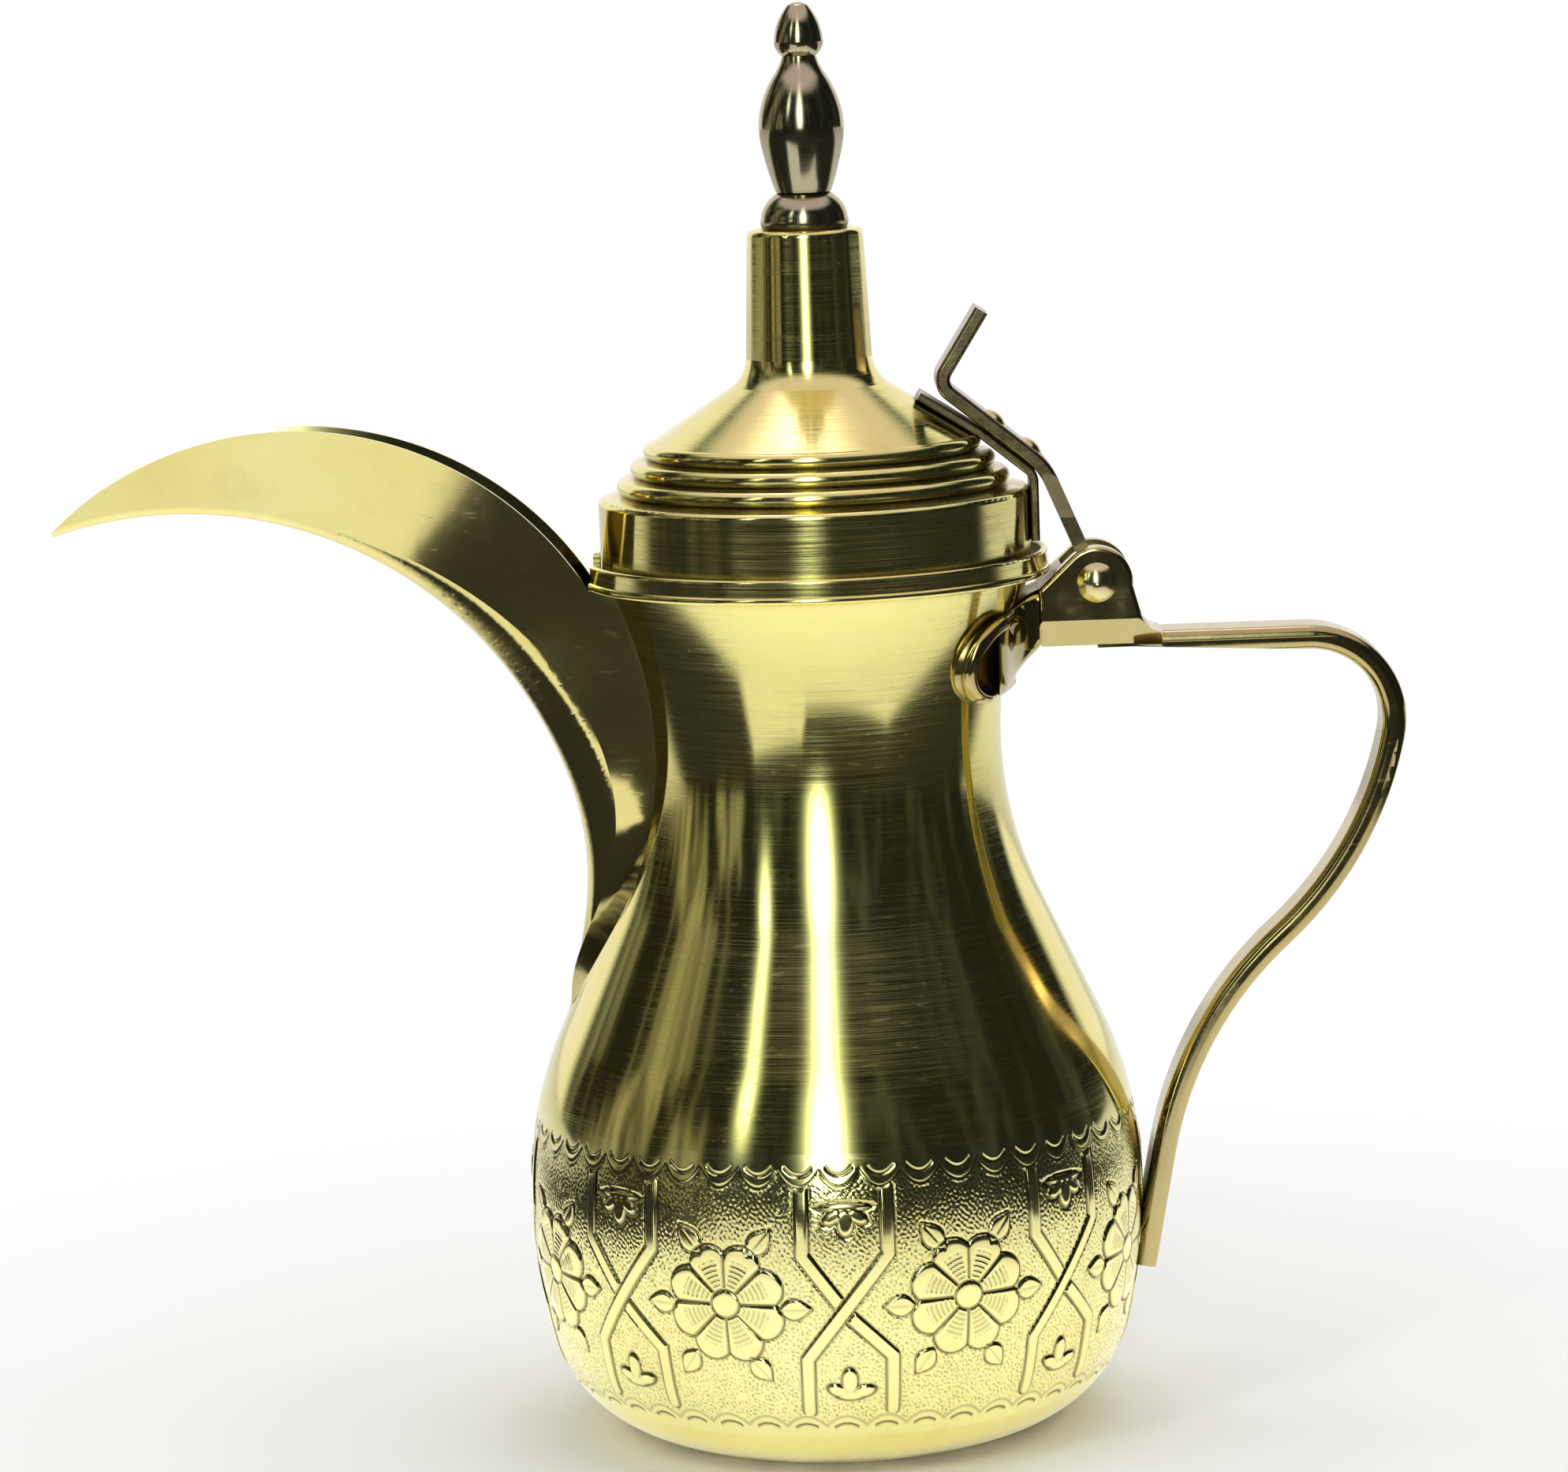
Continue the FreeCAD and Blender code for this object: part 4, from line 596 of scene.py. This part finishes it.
# %% [markdown]
# ## Mesh helpers
# A turned piece is a grid of points: rows along its outline, columns round its
# axis. One helper joins neighbours in such a grid into quads. The other makes a
# piece from points and faces and can give every point its true normal, so the
# metal mirrors smoothly without needing millions of faces.

# %% Mesh helpers
def quads(grid):
    """Faces between neighbours in a grid of point numbers."""
    corners = (grid[:-1, :-1], grid[:-1, 1:], grid[1:, 1:], grid[1:, :-1])
    return np.stack(corners, -1).reshape(-1, 4)


def wrapped(rows, columns):
    """A grid of point numbers that closes on itself both ways."""
    return np.pad(np.arange(rows * columns).reshape(rows, columns), (0, 1), mode="wrap")


def new_piece(name, points, faces, material, body, normals=None):
    """A mesh piece from points in millimetres that rides on a body."""
    mesh = bpy.data.meshes.new(name)
    corners = [tuple(int(k) for k in face) for face in faces]
    mesh.from_pydata((np.asarray(points) * MM).tolist(), [], corners)
    mesh.polygons.foreach_set("use_smooth", np.ones(len(mesh.polygons), bool))
    mesh.materials.append(material)
    mesh.validate()
    if normals is not None:
        mesh.normals_split_custom_set_from_vertices(np.asarray(normals).tolist())
    piece = bpy.data.objects.new(name, mesh)
    scene.collection.objects.link(piece)
    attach(piece, body)
    return piece


print("mesh helpers ready")

# %% [markdown]
# ## Spun body
# The sheet is 1.4 mm thick, open at the neck and closed below by a soldered
# disc. A round-bottomed gate in the neck lets coffee into the spout: the columns
# of points are squeezed apart there, so the edge of the mesh follows the edge of
# the gate. A shallow recess is left for the ornament band.

# %% Outline with gate and band
BAND_LOW, BAND_HIGH, RECESS, PLATE_THICK = 10.5, 71.0, 0.9, 0.55
GATE_HALF, GATE_FLOOR = 11.5, 118.0
FOOT_ROWS, TUCK_ROWS, BAND_STEPS, SLOPE_ROWS, ARCH_ROWS, NECK_ROWS = 16, 8, 36, 40, 14, 46


def pot_skin(inset):
    """Outline points from the base opening to the neck, with normals and gate angles."""
    tuck = math.atan2(FOOT_AT[1] - LOWER_AT[1], FOOT_AT[0] - LOWER_AT[0])
    edge = math.asin((BAND_LOW - FOOT_AT[1]) / FOOT_ROUND)
    below = np.linspace(-math.pi / 2, edge, FOOT_ROWS)[:-1]
    turn = np.r_[below, np.linspace(edge, tuck, TUCK_ROWS)[:-1]]
    foot = FOOT_AT + (FOOT_ROUND - inset) * np.c_[np.cos(turn), np.sin(turn)]
    arch = GATE_HALF * (1 - np.cos(np.linspace(0, math.pi / 2, ARCH_ROWS)))
    side = np.r_[
        np.linspace(pot_joins(inset)[2], BAND_HIGH, BAND_STEPS)[:-1],
        np.linspace(BAND_HIGH, GATE_FLOOR, SLOPE_ROWS)[:-1],
        GATE_FLOOR + arch,
        np.linspace(GATE_FLOOR + GATE_HALF, NECK_TOP, NECK_ROWS)[1:],
    ]
    points = np.vstack(([(BASE_DISC, inset)], foot, np.c_[pot_radius(side, inset), side]))
    length = np.r_[0, np.cumsum(np.hypot(*np.diff(points, axis=0).T))]
    along = np.gradient(points, length, axis=0)
    normals = np.c_[along[:, 1], -along[:, 0]] / np.hypot(*along.T)[:, None]
    drop = np.clip(GATE_FLOOR + GATE_HALF - points[:, 1], 0, GATE_HALF)
    half = np.sqrt(GATE_HALF ** 2 - drop ** 2)
    gate = np.where(points[:, 1] > GATE_FLOOR, np.arcsin(half / points[:, 0]), 0.0)
    return points, normals, gate


outer, outer_normals, gate = pot_skin(0.0)
inner, inner_normals, inner_gate = pot_skin(WALL)
opening = round(math.degrees(2 * gate[-1]), 1)
print("outline rows:", len(outer), "- the gate opens", opening, "degrees at the rim")

# %% [markdown]
# The outline is now swept round the axis, once for the outside and once for the
# inside. Each row of points starts and ends at the edges of the gate, which is
# on the -X side.

# %% Sweep
COLUMNS, EDGE_SLACK = 320, 0.01


def spin(points, normals, gate):
    """Sweep outline points round Z, leaving the gate open on the -X side."""
    share = np.linspace(-1, 1, COLUMNS + 1)
    angle = share[None, :] * (math.pi - gate[:, None])

    def ring(rz):
        upright = np.repeat(rz[:, 1:], angle.shape[1], 1)
        return np.stack((rz[:, :1] * np.cos(angle), rz[:, :1] * np.sin(angle), upright), -1)

    return ring(points), ring(normals)


recessed = (outer[:, 1] > BAND_LOW + EDGE_SLACK) & (outer[:, 1] < BAND_HIGH - EDGE_SLACK)
sunk = outer - RECESS * outer_normals * recessed[:, None]
outside, outside_normals = spin(sunk, outer_normals, gate)
inside, inside_normals = spin(inner, -inner_normals, inner_gate)
print("swept points:", outside.shape[:2], "outside and", inside.shape[:2], "inside")

# %% [markdown]
# Below the gate the first and last column are the same points, so they are
# joined there. Strips of faces then close the sheet at the rim, at the base
# opening and along both cheeks of the gate, and the mesh becomes one closed
# wall, which takes the place of the solid body.

# %% Body mesh
rows, width = len(outer), COLUMNS + 1
index = np.arange(2 * rows * width).reshape(2, rows, width)
whole = gate <= 0
index[:, whole, -1] = index[:, whole, 0]
out_grid, in_grid = index
lowest = int(np.flatnonzero(whole)[-1])
faces = np.vstack((
    quads(out_grid),
    quads(in_grid)[:, ::-1],
    quads(np.stack((out_grid[-1], in_grid[-1]))),
    quads(np.stack((in_grid[0], out_grid[0]))),
    quads(np.stack((out_grid[lowest:, 0], in_grid[lowest:, 0]))),
    quads(np.stack((in_grid[lowest:, -1], out_grid[lowest:, -1]))),
))
points = np.vstack((outside.reshape(-1, 3), inside.reshape(-1, 3)))
normals = np.vstack((outside_normals.reshape(-1, 3), inside_normals.reshape(-1, 3)))
used, faces = np.unique(faces, return_inverse=True)
points, normals, faces = points[used], normals[used], faces.reshape(-1, 4)
pot_body = new_piece("pot_body", points, faces, spun_brass, "pot", normals)
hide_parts("body_shell")
print("pot_body:", len(pot_body.data.vertices), "points", len(pot_body.data.polygons), "faces")

# %% [markdown]
# ## Ornament band
# The belly carries a rolled and chased pattern that repeats eight times: a pair
# of straps that cross, an eight-petalled flower with six leaves round it, a
# small trefoil above and below each crossing, and a row of scallops along both
# edges. It could be a bump, but its lines are deep enough to catch the light, so
# it is real relief. Each form is a signed distance on the unrolled band, and the
# distance decides the height of the metal: domed inside, grooved at the line.

# %% Shapes on the unrolled band
FAR = 9.0


def line_distance(x, z, path):
    """Distance to a path of straight runs."""
    best = np.full(x.shape, np.inf)
    for (ax, az), (bx, bz) in zip(path[:-1], path[1:]):
        dx, dz = bx - ax, bz - az
        share = np.clip(((x - ax) * dx + (z - az) * dz) / (dx * dx + dz * dz), 0, 1)
        best = np.minimum(best, np.hypot(x - ax - share * dx, z - az - share * dz))
    return best


def ellipse_distance(x, z, at, half, tilt):
    c, s = math.cos(math.radians(tilt)), math.sin(math.radians(tilt))
    u, v = (x - at[0]) * c + (z - at[1]) * s, (z - at[1]) * c - (x - at[0]) * s
    return (np.hypot(u / half[0], v / half[1]) - 1) * min(half)


def leaf_distance(x, z, base, tip, half):
    """Distance to a pointed leaf, and to its mid rib."""
    length = math.hypot(tip[0] - base[0], tip[1] - base[1])
    u, v = (tip[0] - base[0]) / length, (tip[1] - base[1]) / length
    along = ((x - base[0]) * u + (z - base[1]) * v) / length
    aside = np.abs((z - base[1]) * u - (x - base[0]) * v)
    within = (along > 0) & (along < 1)
    wide = half * np.sin(np.pi * np.clip(along, 0, 1) ** 0.85)
    beyond = np.maximum(np.maximum(-along, along - 1) * length, 0)
    leaf = np.where(within, aside - wide, np.hypot(beyond, aside))
    return leaf, np.where(within, aside, FAR)


def dome_of(distance, rise, run):
    """Height of a form that swells over the run inside its edge."""
    t = np.clip(-distance / run, 0, 1)
    return rise * np.sqrt(1 - (1 - t) ** 2)


def groove(distance, half):
    return np.exp(-((distance / half) ** 2))


print("shape helpers ready")

# %% [markdown]
# The flower is built round its own middle. Eight petals are one petal, folded
# round by the angle; spokes part them, short strokes hatch the middle of each,
# and a round boss sits in the centre.

# %% Flower
PETAL_OUT, PETAL_ROUND, BOSS, BOSS_RING = 8.6, 4.3, 2.75, 0.25
PETAL_STEP = math.pi / 4
SPOKE_FROM, SPOKE_TO = 3.3, 10.7
HATCH, HATCH_FROM, HATCH_TO, HATCH_START, HATCH_FAN = 1.05, 4.0, 9.4, 4.2, math.radians(13.0)
LEAF_HALF = 2.3
LEAVES = [
    ((-5.2, 10.3), (-9.95, 16.05)), ((5.2, 10.3), (9.95, 16.05)),
    ((-11.3, -1.1), (-18.2, -0.7)), ((11.3, -1.1), (18.2, -0.7)),
    ((-7.3, -10.7), (-11.4, -16.0)), ((4.6, -11.5), (8.9, -16.5)),
]


def flower(u, v):
    """Heights, chased lines and edges of a flower and its leaves about its middle."""
    away, angle = np.hypot(u, v), np.arctan2(v, u)
    near = angle % PETAL_STEP - PETAL_STEP / 2
    petal = np.hypot(away * np.cos(near) - PETAL_OUT, away * np.sin(near)) - PETAL_ROUND
    petal = np.minimum(petal, away - PETAL_OUT)
    spoke = away * np.abs(np.sin((angle + PETAL_STEP / 2) % PETAL_STEP - PETAL_STEP / 2))
    spoke = np.where((away > SPOKE_FROM) & (away < SPOKE_TO), spoke, FAR)
    hatched = (np.abs(near) < HATCH_FAN) & (away > HATCH_FROM) & (away < HATCH_TO)
    hatch = np.abs((away - HATCH_START) % HATCH - HATCH / 2) - HATCH / 2
    hatch = np.where(hatched, hatch, FAR)
    heights = [dome_of(petal, 0.30, 2.4), dome_of(away - BOSS, 0.40, 1.2)]
    lines = [groove(petal, 0.26), groove(spoke, 0.30), 0.5 * groove(hatch, 0.24)]
    lines.append(groove(away - BOSS - BOSS_RING, 0.26))
    edges = [petal]
    for base, tip in LEAVES:
        leaf, rib = leaf_distance(u, v, base, tip, LEAF_HALF)
        heights.append(dome_of(leaf, 0.20, 1.0))
        lines += [groove(leaf, 0.25), 0.35 * groove(rib, 0.18)]
        edges.append(leaf)
    return heights, lines, edges


print("flower reaches", PETAL_OUT + PETAL_ROUND, "mm from its middle")

# %% [markdown]
# One repeat has the crossing in its middle and half a flower at either end. The
# strap that runs under the other stops short of it on both sides, which is how a
# chaser shows a weave.

# %% One repeat of the pattern
REPEATS, BAND_R = 8, 64.5
HALF_REPEAT = math.pi / REPEATS * BAND_R
FLOWER_Z, STRAP, STRAP_GAP = 40.2, 1.45, 0.45
OVER = [(8.5, 66.5), (8.5, 50.5), (-8.6, 28.5), (-8.9, 17.0)]
UNDER = [(-8.9, 66.5), (-8.9, 50.5), (-0.2, 38.2), (9.2, 28.8), (9.3, 17.0)]
LOW_TREFOIL = [
    ((0, 23.6), (1.75, 2.9), 0), ((-2.6, 21.6), (2.3, 1.35), -20),
    ((3.0, 21.3), (2.6, 1.35), 10), ((0.2, 20.4), (3.2, 1.1), 0),
]
HIGH_TREFOIL = [
    ((0, 57.2), (1.75, 3.0), 0), ((-2.5, 58.4), (2.4, 1.3), 35),
    ((2.5, 58.4), (2.4, 1.3), -35), ((0, 60.3), (5.2, 1.0), 0),
]


def forms(x, z):
    """Height above the ground, chased lines and nearest edge, in one repeat."""
    over, under = line_distance(x, z, OVER), line_distance(x, z, UNDER)
    under = np.where(over < STRAP + STRAP_GAP, FAR, under)
    strap = np.minimum(over, under) - STRAP
    heights, lines, edges = [dome_of(strap, 0.16, 0.35)], [groove(strap, 0.26)], [strap]
    for centre in (-HALF_REPEAT, HALF_REPEAT):
        more_heights, more_lines, more_edges = flower(x - centre, z - FLOWER_Z)
        heights += more_heights
        lines += more_lines
        edges += more_edges
    for trefoil in (LOW_TREFOIL, HIGH_TREFOIL):
        lobe = np.minimum.reduce([ellipse_distance(x, z, *oval) for oval in trefoil])
        heights.append(dome_of(lobe, 0.16, 0.7))
        lines.append(groove(lobe, 0.25))
        edges.append(lobe)
    return np.maximum.reduce(heights), np.maximum.reduce(lines), np.minimum.reduce(edges)


print("repeat is", round(2 * HALF_REPEAT, 2), "mm of the band")

# %% [markdown]
# A row of scallops, struck with a curved punch, closes the pattern above and
# below. Their number doesn't follow the eight repeats, so they are drawn round
# the whole pot by angle. Each arc is its height, the rise to its ends, its half
# width and the weight of its line; the last one bounds the matted ground.

# %% Scallops along both edges
HIGH_COUNT, HIGH_ARCS = 48, [(66.7, 1.5, 2.75, 1.0), (64.3, 3.3, 4.22, 0.5)]
LOW_COUNT, LOW_ARCS = 45, [(13.8, -0.9, 2.7, 1.0), (15.6, -2.3, 4.5, 0.5)]
PUNCH_HALF = 0.30


def scallops(angle, z, count, arcs):
    """Chased arcs repeated round the pot, and the curve of the last of them."""
    step = 2 * math.pi / count
    x = ((angle + step / 2) % step - step / 2) * BAND_R
    lines = []
    for at, rise, half, weight in arcs:
        bend = at + rise * (x / half) ** 2
        tilt = np.hypot(1, 2 * rise * x / half ** 2)
        struck = weight * groove((z - bend) / tilt, PUNCH_HALF)
        lines.append(np.where(np.abs(x) < half, struck, 0))
    return np.maximum.reduce(lines), bend


print("scallops:", HIGH_COUNT, "above and", LOW_COUNT, "below")

# %% [markdown]
# The band is now unrolled into a grid of angle and height, and every form is
# worked out on the whole grid at once. The ground fades out at the scallops, and
# a chased line may cross the forms but not the smooth rim.

# %% Unroll the band
STRAP_AT = math.radians(0.8)
BAND_COLUMNS, BAND_ROWS = 1232, 190
EDGE_GAP, EDGE_FADE, MAT_FADE, MAT_GAP = 0.3, 0.5, 0.4, 0.2

round_pot = np.arange(BAND_COLUMNS) * 2 * math.pi / BAND_COLUMNS
up_band = np.linspace(BAND_LOW, BAND_HIGH, BAND_ROWS)
angle, z = np.meshgrid(round_pot, up_band, indexing="ij")
turn = 2 * math.pi / REPEATS
x = ((angle - STRAP_AT + turn / 2) % turn - turn / 2) * BAND_R
height, line, smooth = forms(x, z)
high_line, high_edge = scallops(angle, z, HIGH_COUNT, HIGH_ARCS)
low_line, low_edge = scallops(angle, z, LOW_COUNT, LOW_ARCS)
from_edge = np.minimum(high_edge - EDGE_GAP - z, z - low_edge - EDGE_GAP)
ground = np.clip(from_edge / EDGE_FADE, 0, 1)
matted = ground * np.clip(smooth / MAT_FADE - MAT_GAP, 0, 1)
line = np.maximum(line * ground, np.maximum(high_line, low_line))
print("band grid:", angle.shape, "matted share", round(float(matted.mean()), 2))

# %% [markdown]
# The ground is matted with a small punch, so that the smooth forms shine against
# it. Noise kept to one wavelength, about a millimetre, has just such even dimples
# without any order, and it closes on itself round the pot.

# %% Matted ground and relief
DIMPLE, DIMPLE_SPREAD = 1.1, 0.4
GROUND_DEPTH, MAT_DEPTH, LINE_DEPTH = 0.16, 0.026, 0.26

rng = np.random.default_rng(11)
noise = np.fft.rfft2(rng.standard_normal(angle.shape))
fx = np.fft.fftfreq(BAND_COLUMNS, 2 * math.pi * BAND_R / BAND_COLUMNS)[:, None]
fz = np.fft.rfftfreq(BAND_ROWS, (BAND_HIGH - BAND_LOW) / BAND_ROWS)[None, :]
kept = np.exp(-((np.hypot(fx, fz) - DIMPLE) / DIMPLE_SPREAD) ** 2)
noise = np.fft.irfft2(noise * kept, s=angle.shape)
noise /= noise.std()
raised = height * ground - GROUND_DEPTH * ground * (smooth > 0)
raised = raised + MAT_DEPTH * noise * matted - LINE_DEPTH * line
print("relief from", round(float(raised.min()), 2), "to", round(float(raised.max()), 2), "mm")

# %% [markdown]
# The relief is laid on the pot: every point moves out from the skin by its
# height, square to the wall. The front gets its normals from its own grid. The
# back of the plate is smooth and lies in the recess of the body.

# %% Wrap the band on the pot
PIT_GAIN, PIT_FROM = 0.9, 0.35

skin_r = pot_radius(z)
lean = np.gradient(pot_radius(z[0]), z[0])
out_r, out_z = 1 / np.hypot(1, lean), -lean / np.hypot(1, lean)


def on_band(lift):
    r = skin_r + lift * out_r
    return np.stack((r * np.sin(angle), -r * np.cos(angle), z + lift * out_z), -1)


front, back = on_band(raised), on_band(np.full_like(raised, -PLATE_THICK))
around = np.roll(front, -1, 0) - np.roll(front, 1, 0)
band_normals = np.cross(around, np.gradient(front, axis=1))
band_normals /= np.linalg.norm(band_normals, axis=-1, keepdims=True)
pits = matted * np.clip(-PIT_GAIN * noise - PIT_FROM, 0, 1)
chased = np.stack((np.clip(line, 0, 1), matted, pits, np.ones_like(line)), -1)
print("band points:", raised.size)

# %% [markdown]
# Each plate is closed behind, as a real sheet is. The back needs no fine grid:
# wide cells are enough there, and the cells along the rim take in every point
# of the fine edge, so that front, rim and back share their points.

# %% Close a plate behind
WIDE, TALL = 14, 21


def plate_back(columns, rows, first):
    """Rim and back faces of a plate whose front points are numbered column by column."""
    rim = [(i, 0) for i in range(columns)]
    rim += [(columns - 1, j) for j in range(1, rows)]
    rim += [(i, rows - 1) for i in range(columns - 2, -1, -1)]
    rim += [(0, j) for j in range(rows - 2, 0, -1)]
    middle = [(i, j) for i in range(WIDE, columns - 1, WIDE) for j in range(TALL, rows - 1, TALL)]
    number = {spot: first + k for k, spot in enumerate(rim + middle)}
    faces = []
    for (i, j), (k, m) in zip(rim, rim[1:] + rim[:1]):
        faces.append((i * rows + j, k * rows + m, number[k, m], number[i, j])[::-1])
    for i in range(0, columns - 1, WIDE):
        for j in range(0, rows - 1, TALL):
            k, m = i + WIDE, j + TALL
            loop = [(n, j) for n in range(i, k)] + [(k, n) for n in range(j, m)]
            loop += [(n, m) for n in range(k, i, -1)] + [(i, n) for n in range(m, j, -1)]
            faces.append([number[spot] for spot in loop if spot in number][::-1])
    return faces, rim + middle


quarter = BAND_COLUMNS // 4
behind, spots = plate_back(quarter + 1, BAND_ROWS, (quarter + 1) * BAND_ROWS)
print("rim and back:", len(behind), "faces")

# %% [markdown]
# Four plates make the ring. One would do, but four keep each mesh light, and
# they can be placed or looked at one by one. The colour attribute carries the
# lines, the ground and the pits to the shader.

# %% Four plates
PLATES = {"front": -1, "right": 1, "back": 3, "left": 5}
spots = tuple(np.array(spots).T)
grid = np.arange((quarter + 1) * BAND_ROWS).reshape(quarter + 1, BAND_ROWS)
faces = [*quads(grid)[:, ::-1], *behind]
for name, halves in PLATES.items():
    first = halves * quarter // 2
    take = np.arange(first, first + quarter + 1) % BAND_COLUMNS
    points = np.vstack((front[take].reshape(-1, 3), back[take][spots]))
    normals = np.vstack((band_normals[take].reshape(-1, 3), -band_normals[take][spots]))
    plate = new_piece(f"ornament_{name}", points, faces, band_brass, "pot", normals)
    tint = np.vstack((chased[take].reshape(-1, 4), chased[take][spots]))
    colour = plate.data.attributes.new("chasing", "FLOAT_COLOR", "POINT")
    colour.data.foreach_set("color", tint.astype(np.float32).ravel())
    print(plate.name, len(plate.data.polygons), "faces")

# %% [markdown]
# ## Finial baluster
# The grip on the lid is turned from a bar. The tool follows one easy curve from
# the foot over the belly to the neck, without a corner on the way, and a hole
# down the middle takes the stud. A few heights and radii are enough: a cubic
# between them keeps the slope the same on both sides of each.

# %% Turned baluster
TURN_HEIGHTS = np.array(
    (0.0, 2.9, 5.9, 9.0, 11.6, 13.8, 16.0, 18.2, 20.6, 23.0, 25.2, 26.8, 28.0))
TURN_RADII = np.array(
    (5.7, 6.7, 7.55, 8.3, 8.75, 8.86, 8.65, 8.15, 7.3, 6.1, 4.7, 3.9, 3.5))
STUD_HOLE, TURN_ROWS, TURN_COLUMNS, SHARP_FROM = 2.05, 72, 96, 40.0


def easy_curve(at, knots, values):
    """Cubic through the values, with the slope of each taken from its neighbours."""
    slopes = np.gradient(values, knots)
    k = np.clip(np.searchsorted(knots, at) - 1, 0, len(knots) - 2)
    step = knots[k + 1] - knots[k]
    t = (at - knots[k]) / step
    left = (1 + 2 * t) * values[k] + t * step * slopes[k]
    right = (3 - 2 * t) * values[k + 1] - (1 - t) * step * slopes[k + 1]
    return (1 - t) ** 2 * left + t ** 2 * right


solid = nodes["finial_baluster"]
foot_z = min((solid.matrix_world @ v.co).z for v in solid.data.vertices) / MM
rise = np.linspace(0, TURN_HEIGHTS[-1], TURN_ROWS)
radii = easy_curve(rise, TURN_HEIGHTS, TURN_RADII)
loop = np.vstack((np.c_[radii, rise], [(STUD_HOLE, rise[-1]), (STUD_HOLE, 0.0)]))
turn = np.arange(TURN_COLUMNS) * 2 * math.pi / TURN_COLUMNS
sides = np.outer(loop[:, 0], np.cos(turn)), np.outer(loop[:, 0], np.sin(turn))
ring = np.stack((*sides, np.outer(loop[:, 1] + foot_z, np.ones(TURN_COLUMNS))), -1)
faces = quads(wrapped(len(loop), TURN_COLUMNS))
baluster = new_piece("baluster", ring.reshape(-1, 3), faces, turned_brass, "lid")
baluster.data.set_sharp_from_angle(angle=math.radians(SHARP_FROM))
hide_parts("finial_baluster")
print(baluster.name, "stands from", round(foot_z, 2), "to", round(foot_z + rise[-1], 2), "mm")

# %% [markdown]
# ## Saddle bead
# The socket's saddle is dished where it is soldered to the neck, and its edge is
# rolled over into a round bead. A tube along a closed path makes it, with its
# own radius at each point, because the real bead is fuller at both ends.

# %% Tube helper
def tube(name, path, outward, radius, material, body, sides=14):
    """A closed round bead along a ring of points, with its own radius at each point."""
    along = np.roll(path, -1, 0) - np.roll(path, 1, 0)
    along /= np.linalg.norm(along, axis=1, keepdims=True)
    across = np.cross(along, outward)
    across /= np.linalg.norm(across, axis=1, keepdims=True)
    lift = np.cross(across, along)
    turn = (np.arange(sides) * 2 * math.pi / sides)[None, :, None]
    way = lift[:, None] * np.cos(turn) + across[:, None] * np.sin(turn)
    points = path[:, None] + way * radius[:, None, None]
    # Starting each quad one corner on sets the diagonal along which it is split.
    faces = np.roll(quads(wrapped(len(path), sides)), -1, axis=1)
    return new_piece(name, points.reshape(-1, 3), faces, material, body, way.reshape(-1, 3))


print("tube helper ready")

# %% [markdown]
# The path is the saddle's rounded outline, first drawn flat and then wrapped on
# the neck by taking X from the radius at each height. The bead sits a little
# inside the edge, half sunk into the plate.

# %% Saddle bead
SADDLE_HALF, SADDLE_LOW, SADDLE_HIGH, SADDLE_PLATE = 28.0, 156.0, 172.8, 2.6
BEAD_POINTS, END_INSET, SIDE_INSET, SINK, ROUNDING = 160, 0.7, 0.9, 0.9, 0.9
BEAD_THIN, BEAD_MORE, FULLER_FROM, FULLER_OVER = 1.2, 0.7, 14, 12
SNAP = 50

turn = np.linspace(0, 2 * math.pi, BEAD_POINTS, endpoint=False)
tall = (SADDLE_HIGH - SADDLE_LOW) / 2 - SIDE_INSET
round_off = ROUNDING * tall
straight = np.array((SADDLE_HALF - END_INSET - round_off, tall - round_off))
swing = np.c_[np.cos(turn), np.sin(turn)]
outline = np.clip(swing * SNAP, -1, 1) * straight + round_off * swing
y, z_at = outline[:, 0], (SADDLE_LOW + SADDLE_HIGH) / 2 + outline[:, 1]
skin = pot_radius(z_at) + SADDLE_PLATE - SINK
path = np.c_[np.sqrt(skin ** 2 - y ** 2), y, z_at]
outward = np.c_[path[:, 0] / skin, y / skin, np.zeros(len(path))]
fuller = BEAD_THIN + BEAD_MORE * np.clip((np.abs(y) - FULLER_FROM) / FULLER_OVER, 0, 1)
bead = tube("saddle_bead", path, outward, fuller, cast_brass, "pot")
print(bead.name, len(bead.data.polygons), "faces")
